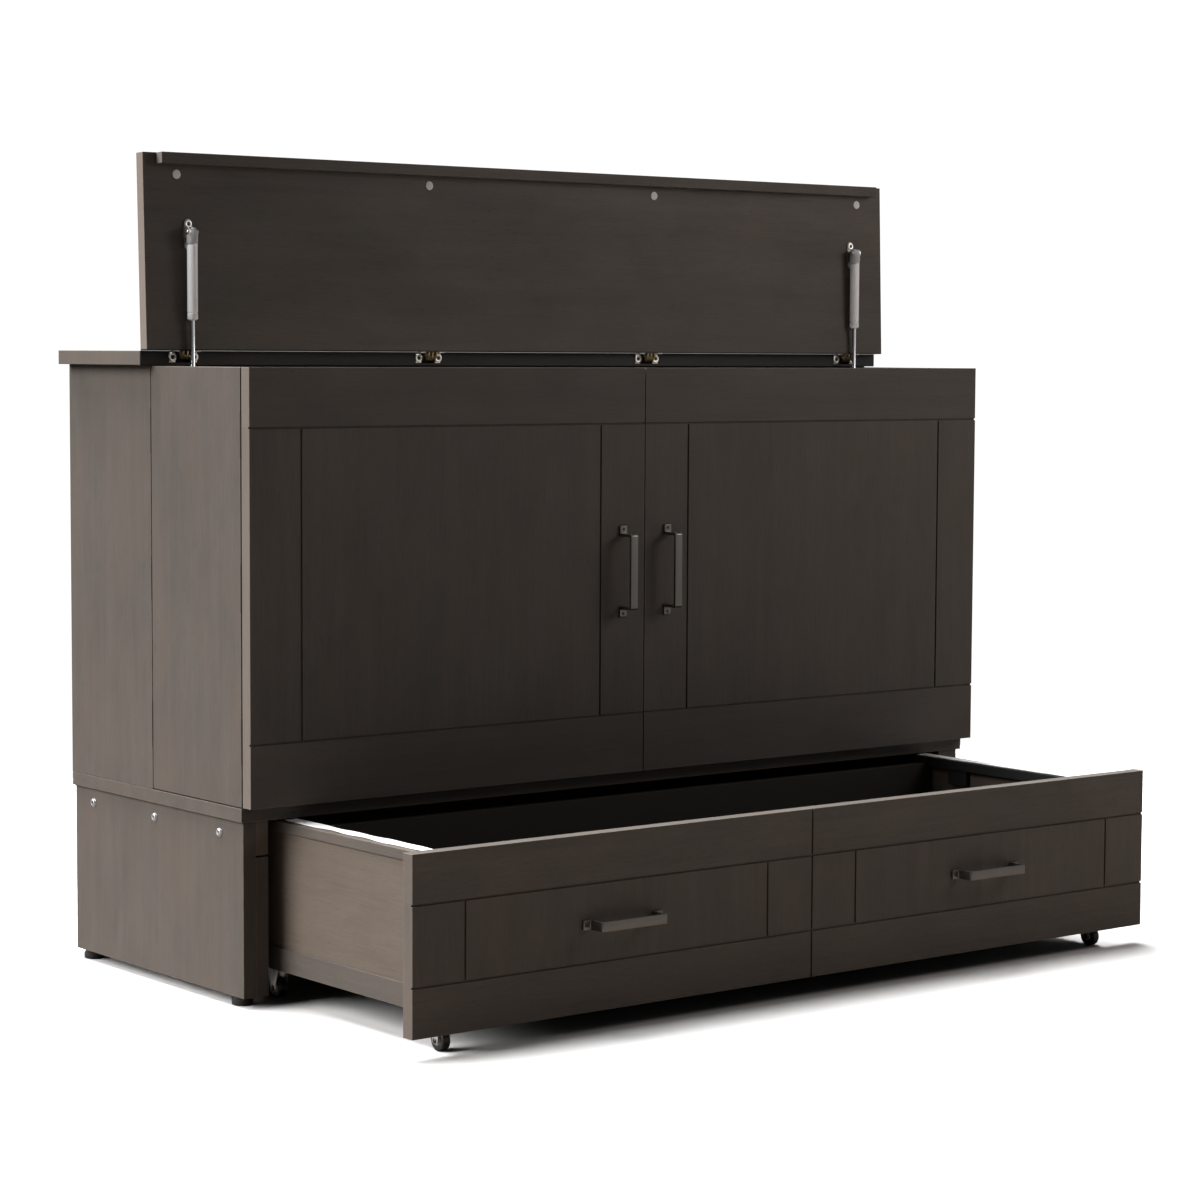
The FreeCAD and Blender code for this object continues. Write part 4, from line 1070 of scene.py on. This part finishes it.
def addLegs():
    # two folded leg frames of bent tube with rubber tips, lying against the outer panel
    size = {"tube": 0.0088, "bend": 0.05, "tip": 0.0098, "tipLong": 0.022}
    whole = Assembly()
    for low, high in solidBoxes("platform_legs"):
        left, right = low.x + 0.009, high.x - 0.009
        y = centre(low, high).y
        foot = low.z + 0.009
        line = rounded([(left, high.z, 0), (left, foot, size["bend"]), (right, foot, size["bend"]),
                        (right, high.z, 0)], 10)
        rings = []
        bm = bmesh.new()
        for k, point in enumerate(line):
            ahead = line[min(k + 1, len(line) - 1)] - line[max(k - 1, 0)]
            along = Vector((ahead.x, 0, ahead.y)).normalized()
            side = Vector((0, 1, 0)).cross(along)
            ring = []
            for step in range(20):
                angle = 2 * math.pi * step / 20
                spread = side * math.cos(angle) + Vector((0, 1, 0)) * math.sin(angle)
                ring.append(bm.verts.new(Vector((point.x, y, point.y)) + spread * size["tube"]))
            rings.append(ring)
        for first, second in zip(rings, rings[1:]):
            for step in range(20):
                bm.faces.new([first[step], second[step], second[(step + 1) % 20], first[(step + 1) % 20]])
        bm.faces.new(rings[0])
        bm.faces.new(list(reversed(rings[-1])))
        bmesh.ops.recalc_face_normals(bm, faces=bm.faces[:])
        whole.put(bm, finish=0)
        for x in (left, right):
            tip = [(0, -size["tipLong"]), (size["tip"] - 0.001, -size["tipLong"]), (size["tip"] - 0.0009, 0.0)]
            tip += dome(size["tip"] - 0.0009, 0.0, 0.0008, 3)
            whole.put(lathe(tip, 28), Matrix.Translation((x, y, high.z)), 1)
    whole.done("platformLegs", [legPaint, rubber], "cabinet", "black_steel", ["platform_legs"])


addCasters()
addForks()
addFeet()
addLegs()
print("casters, feet and legs made")


# soft goods

def addFelt(handName, hand):
    # a strip of felt laid loose along the top of the drawer's side, so its edges wander and lift a little
    size = {"thick": 0.0018, "wander": 0.0024, "lift": 0.0012, "columns": 12, "rows": 170, "margin": 0.0004,
            "endIn": 0.001, "rest": 0.0002}
    low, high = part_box("felt_strip_" + handName)
    luck = random.Random(11 + hand)
    phases = [(luck.uniform(9, 70), luck.uniform(0, 6.3), luck.uniform(0.3, 1)) for k in range(9)]

    def wave(y, start):
        return sum(weight * math.sin(rate * y + phase + start) for rate, phase, weight in phases) / 4.5

    bm = bmesh.new()
    grid = []
    inset = size["wander"] + size["margin"]
    wide, long = high.x - low.x - 2 * inset, high.y - low.y - 2 * size["endIn"]
    for row in range(size["rows"] + 1):
        y = low.y + size["endIn"] + long * row / size["rows"]
        line = []
        for column in range(size["columns"] + 1):
            share = column / size["columns"]
            edge = abs(share - 0.5) * 2
            x = low.x + inset + wide * share
            x += size["wander"] * wave(y, 4 * share) * edge * edge
            lift = size["lift"] * max(0.0, 0.5 + 0.5 * wave(y, 2.5 * share)) * (0.35 + 0.65 * edge)
            line.append(bm.verts.new((x, y, low.z + size["rest"] + size["thick"] * 0.5 + lift)))
        grid.append(line)
    for first, second in zip(grid, grid[1:]):
        for k in range(size["columns"]):
            bm.faces.new([first[k], first[k + 1], second[k + 1], second[k]])
    bmesh.ops.recalc_face_normals(bm, faces=bm.faces[:])
    name = "feltStrip_" + handName
    piece = settle(name, newMesh(name, bm), [feltWhite], "drawer", ["felt_strip_" + handName], 60)
    wall = piece.modifiers.new("thickness", "SOLIDIFY")
    wall.thickness = size["thick"]
    wall.offset = 0.0


for handName, hand in hands:
    addFelt(handName, hand)


mattress = {"inset": 0.007, "corner": 0.03, "voxel": 0.013, "pressure": 4.0, "frames": 20, "cap": 0.0075,
            "quilt": 0.11, "quiltDeep": 0.0032, "seamSharp": 3.2, "uneven": 0.0012, "faceIn": 0.03,
            "faceFade": 0.02, "borderIn": 0.035, "borderFade": 0.03, "gap": 0.0004, "quickVoxel": 0.03,
            "pipe": 0.0032, "pipeIn": 0.012, "pipeDown": 0.010, "pipeCorner": 0.04, "pipeStep": 0.02,
            "pipeLift": 0.0004,
            "stitchStep": 0.011, "stitchLong": 0.0068, "stitchThick": 0.0005, "stitchIn": (0.985, 0.97),
            "stitchLift": 0.0002}


def fillCushion(piece):
    # pressure cloth, then a cap on how far any point moved
    before = [vert.co.copy() for vert in piece.data.vertices]
    cloth = piece.modifiers.new("fill", "CLOTH")
    cloth.settings.use_pressure = True
    cloth.settings.uniform_pressure_force = mattress["pressure"]
    cloth.settings.quality = 4
    cloth.settings.tension_stiffness = 8
    cloth.settings.compression_stiffness = 8
    cloth.settings.bending_stiffness = 0.6
    cloth.settings.effector_weights.gravity = 0
    cloth.collision_settings.use_collision = False
    cloth.point_cache.frame_end = mattress["frames"]
    for step in range(1, mattress["frames"] + 1):
        scene.frame_set(step)
    filled = evaluated(piece)
    piece.modifiers.remove(cloth)
    for vert, start in zip(filled.vertices, before):
        move = vert.co - start
        if move.length > mattress["cap"]:
            vert.co = start + move.normalized() * mattress["cap"]
    piece.data = filled
    scene.frame_set(1)


def cushionMesh(low, high):
    # a rounded block, remeshed evenly, filled and smoothed once
    inset = Vector((mattress["inset"],) * 3)
    bm = block(low + inset, high - inset, 0.0)
    bmesh.ops.bevel(bm, geom=bm.edges[:], offset=mattress["corner"], segments=4, profile=0.5, affect="EDGES")
    piece = newObject("cushionStart", newMesh("cushionStart", bm))
    remesh = piece.modifiers.new("even", "REMESH")
    remesh.mode = "VOXEL"
    remesh.voxel_size = mattress["voxel"]
    even = evaluated(piece)
    piece.modifiers.remove(remesh)
    piece.data = even
    fillCushion(piece)
    finer = piece.modifiers.new("finer", "SUBSURF")
    finer.levels = finer.render_levels = 1
    result = evaluated(piece)
    bpy.data.objects.remove(piece)
    return result


def addMattress():
    names = ["mattress_rear", "mattress_middle", "mattress_front"]
    low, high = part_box(names[0])
    shape = cushionMesh(low, high)
    firstMiddle = centre(low, high)
    for index, node in enumerate(names):
        low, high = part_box(node)
        middle, half = centre(low, high), (high - low) / 2
        mesh = shape.copy()
        turn = -1 if index == 1 else 1
        luck = random.Random(31 + index)
        sway = [(luck.uniform(3, 7), luck.uniform(0, 6.3)) for k in range(4)]
        for vert in mesh.vertices:
            spot = vert.co - firstMiddle
            spot.x *= turn
            spot.y *= turn
            # diamond quilting on the two broad faces, fading out before the border
            broad = min(1.0, max(0.0, (abs(spot.y) - half.y + mattress["faceIn"]) / mattress["faceFade"]))
            border = min(half.x - abs(spot.x), half.z - abs(spot.z))
            fade = min(1.0, max(0.0, (border - mattress["borderIn"]) / mattress["borderFade"])) * broad
            u, v = (spot.x + spot.z) / mattress["quilt"], (spot.x - spot.z) / mattress["quilt"]
            seam = min(abs(math.sin(math.pi * u)), abs(math.sin(math.pi * v)))
            dent = mattress["quiltDeep"] * (1 - min(1.0, seam * mattress["seamSharp"])) ** 1.5 * fade
            waves = [math.sin(rate * place + phase) for (rate, phase), place in zip(sway, (spot.x, spot.z))]
            uneven = mattress["uneven"] * waves[0] * waves[1]
            spot.y -= math.copysign(dent + abs(uneven) * broad, spot.y)
            limit = half - Vector((mattress["gap"],) * 3)
            vert.co = middle + Vector([max(-limit[k], min(limit[k], spot[k])) for k in range(3)])
        piece = settle("cushion_" + node, mesh, [ticking], "cabinet", [node], 180)
        surface = BVHTree.FromPolygons([v.co for v in mesh.vertices], [p.vertices[:] for p in mesh.polygons])
        addSeams(node, middle, half, surface)


def addSeams(node, middle, half, surface):
    # corded seams round both broad faces and the stitches beside them, laid onto the filled shape
    for side, name in ((-1, "front"), (1, "back")):
        pipeIn = mattress["pipeIn"]
        loop = rounded(rectangle(half.x - pipeIn, half.z - pipeIn, mattress["pipeCorner"]), 8)
        fine = []
        for k, point in enumerate(loop):
            following = loop[(k + 1) % len(loop)]
            steps = max(1, round((following - point).length / mattress["pipeStep"]))
            fine += [point.lerp(following, step / steps) for step in range(steps)]
        seam, stitches = [], []
        for point in fine:
            outer = middle + Vector((point.x, side * (half.y - mattress["pipeDown"]), point.y))
            inner = middle + Vector((point.x * mattress["stitchIn"][0], side * half.y,
                                     point.y * mattress["stitchIn"][1]))
            for spot, kept, lift in ((outer, seam, "pipeLift"), (inner, stitches, "stitchLift")):
                hit, normal = surface.find_nearest(spot)[:2]
                kept.append(hit + normal * mattress[lift])
        curve = bpy.data.curves.new("piping", "CURVE")
        curve.dimensions = "3D"
        curve.bevel_depth = mattress["pipe"] / 2
        curve.bevel_resolution = 3
        spline = curve.splines.new("POLY")
        spline.points.add(len(seam) - 1)
        for slotPoint, spot in zip(spline.points, seam):
            slotPoint.co = (*spot, 1)
        spline.use_cyclic_u = True
        holder = newObject("piping", curve)
        bpy.context.view_layer.update()
        mesh = evaluated(holder)
        bpy.data.objects.remove(holder)
        settle("piping_%s_%s" % (node, name), mesh, [tape], "cabinet", angle=180)
        edges = [(k, (k + 1) % len(stitches)) for k in range(len(stitches))]
        grow("stitches_%s_%s" % (node, name), stitchTree, stitches,
             {"Step": mattress["stitchStep"], "Length": mattress["stitchLong"],
              "Thickness": mattress["stitchThick"], "Finish": thread},
             "cabinet", edges=edges)


addMattress()
print("soft pieces made")
for used in shapes.values():
    bpy.data.objects.remove(used)


# floor, light and camera

stage = {"floorReach": 2.6, "floorTone": (0.56, 0.56, 0.565, 1), "floorBounce": (0.165, 0.143, 0.127, 1),
         "drop": 0.0002, "ambient": 0.02}
lights = [  # name, where it comes from, strength, softness in degrees, colour
    ("key", (-0.80, 0.30, 0.50), 6.6, 40, (1.0, 0.985, 0.965)),
    ("top", (-0.05, 0.34, 1.0), 10.2, 40, (1.0, 1.0, 1.0)),
]
fill = {"spot": (1.9, -1.7, 1.95), "aim": (0.3, 0.1, 0.9), "size": 1.1, "power": 21.0,
        "tone": (1.0, 0.92, 0.86)}


def aimLamp(holder, source):
    holder.rotation_mode = "QUATERNION"
    holder.rotation_quaternion = Vector(source).to_track_quat("Z", "Y")


def buildStage():
    reach = stage["floorReach"]
    mesh = bpy.data.meshes.new("floor")
    mesh.from_pydata(rectangle(reach, reach, 0), [], [(0, 1, 2, 3)])
    floor = newObject("floor", mesh)
    floor.location.z = -stage["drop"]
    material, shader, coords = newMaterial("paleFloor", {"Roughness": 0.9, "Specular IOR Level": 0.1})
    mottled = noise(coords["Object"], 3.0)
    colour = tint(mottled, stage["floorTone"], tuple(c * 1.02 for c in stage["floorTone"][:3]) + (1,))
    seen = put(material.node_tree, "ShaderNodeLightPath").outputs["Is Camera Ray"]
    material.node_tree.links.new(tint(seen, stage["floorBounce"], colour), shader["Base Color"])
    mesh.materials.append(material)
    world = bpy.data.worlds.new("studio")
    world.use_nodes = True
    scene.world = world
    tree = world.node_tree
    tree.nodes.clear()
    path = put(tree, "ShaderNodeLightPath").outputs
    way = put(tree, "ShaderNodeTexCoord").outputs["Generated"]
    backdrop = ramp(vectorCalc("DOT_PRODUCT", way, (0.61, 0.79, 0.0)), 0.7, 0.95, 0.05, 0.9)
    softbox = ramp(vectorCalc("DOT_PRODUCT", way, (0.61, -0.79, 0.05)), 0.1, 0.85, 0.0, 0.42)
    mirrored = multiply(add(backdrop, softbox), path["Is Glossy Ray"])
    strength = add(mirrored, stage["ambient"])
    strength = calc("MAXIMUM", strength, multiply(path["Is Camera Ray"], 1.05))
    sky = put(tree, "ShaderNodeBackground", {"Color": (1, 1, 1, 1), "Strength": strength})
    out = tree.nodes.new("ShaderNodeOutputWorld")
    tree.links.new(sky.outputs[0], out.inputs[0])
    for name, source, strength, softness, colour in lights:
        lamp = bpy.data.lights.new(name, "SUN")
        lamp.energy = strength
        lamp.angle = math.radians(softness)
        lamp.color = colour
        aimLamp(newObject(name, lamp), source)
    lamp = bpy.data.lights.new("fill", "AREA")
    lamp.energy = fill["power"]
    lamp.size = fill["size"]
    lamp.color = fill["tone"]
    holder = newObject("fill", lamp)
    holder.location = fill["spot"]
    aimLamp(holder, Vector(fill["spot"]) - Vector(fill["aim"]))
    scene.view_settings.view_transform = "Standard"


camera = {"spot": (-3.44254, -4.31676, 1.06832), "yaw": -0.6651317, "pitch": -0.0788375, "roll": 0.0050114,
          "lens": 93.447, "sensor": 36.0}


def buildCamera():
    yaw, pitch, roll = camera["yaw"], camera["pitch"], camera["roll"]
    ahead = Vector((-math.sin(yaw) * math.cos(pitch), math.cos(yaw) * math.cos(pitch), math.sin(pitch)))
    right = ahead.cross(up).normalized()
    top = right.cross(ahead)
    level = right * math.cos(roll) + top * math.sin(roll)
    upright = top * math.cos(roll) - right * math.sin(roll)
    data = bpy.data.cameras.new("camera")
    data.lens = camera["lens"]
    data.sensor_width = camera["sensor"]
    holder = newObject("camera", data)
    holder.matrix_world = axes(Vector(camera["spot"]), level, upright, -ahead)
    scene.camera = holder


buildStage()
buildCamera()
print("scene ready")
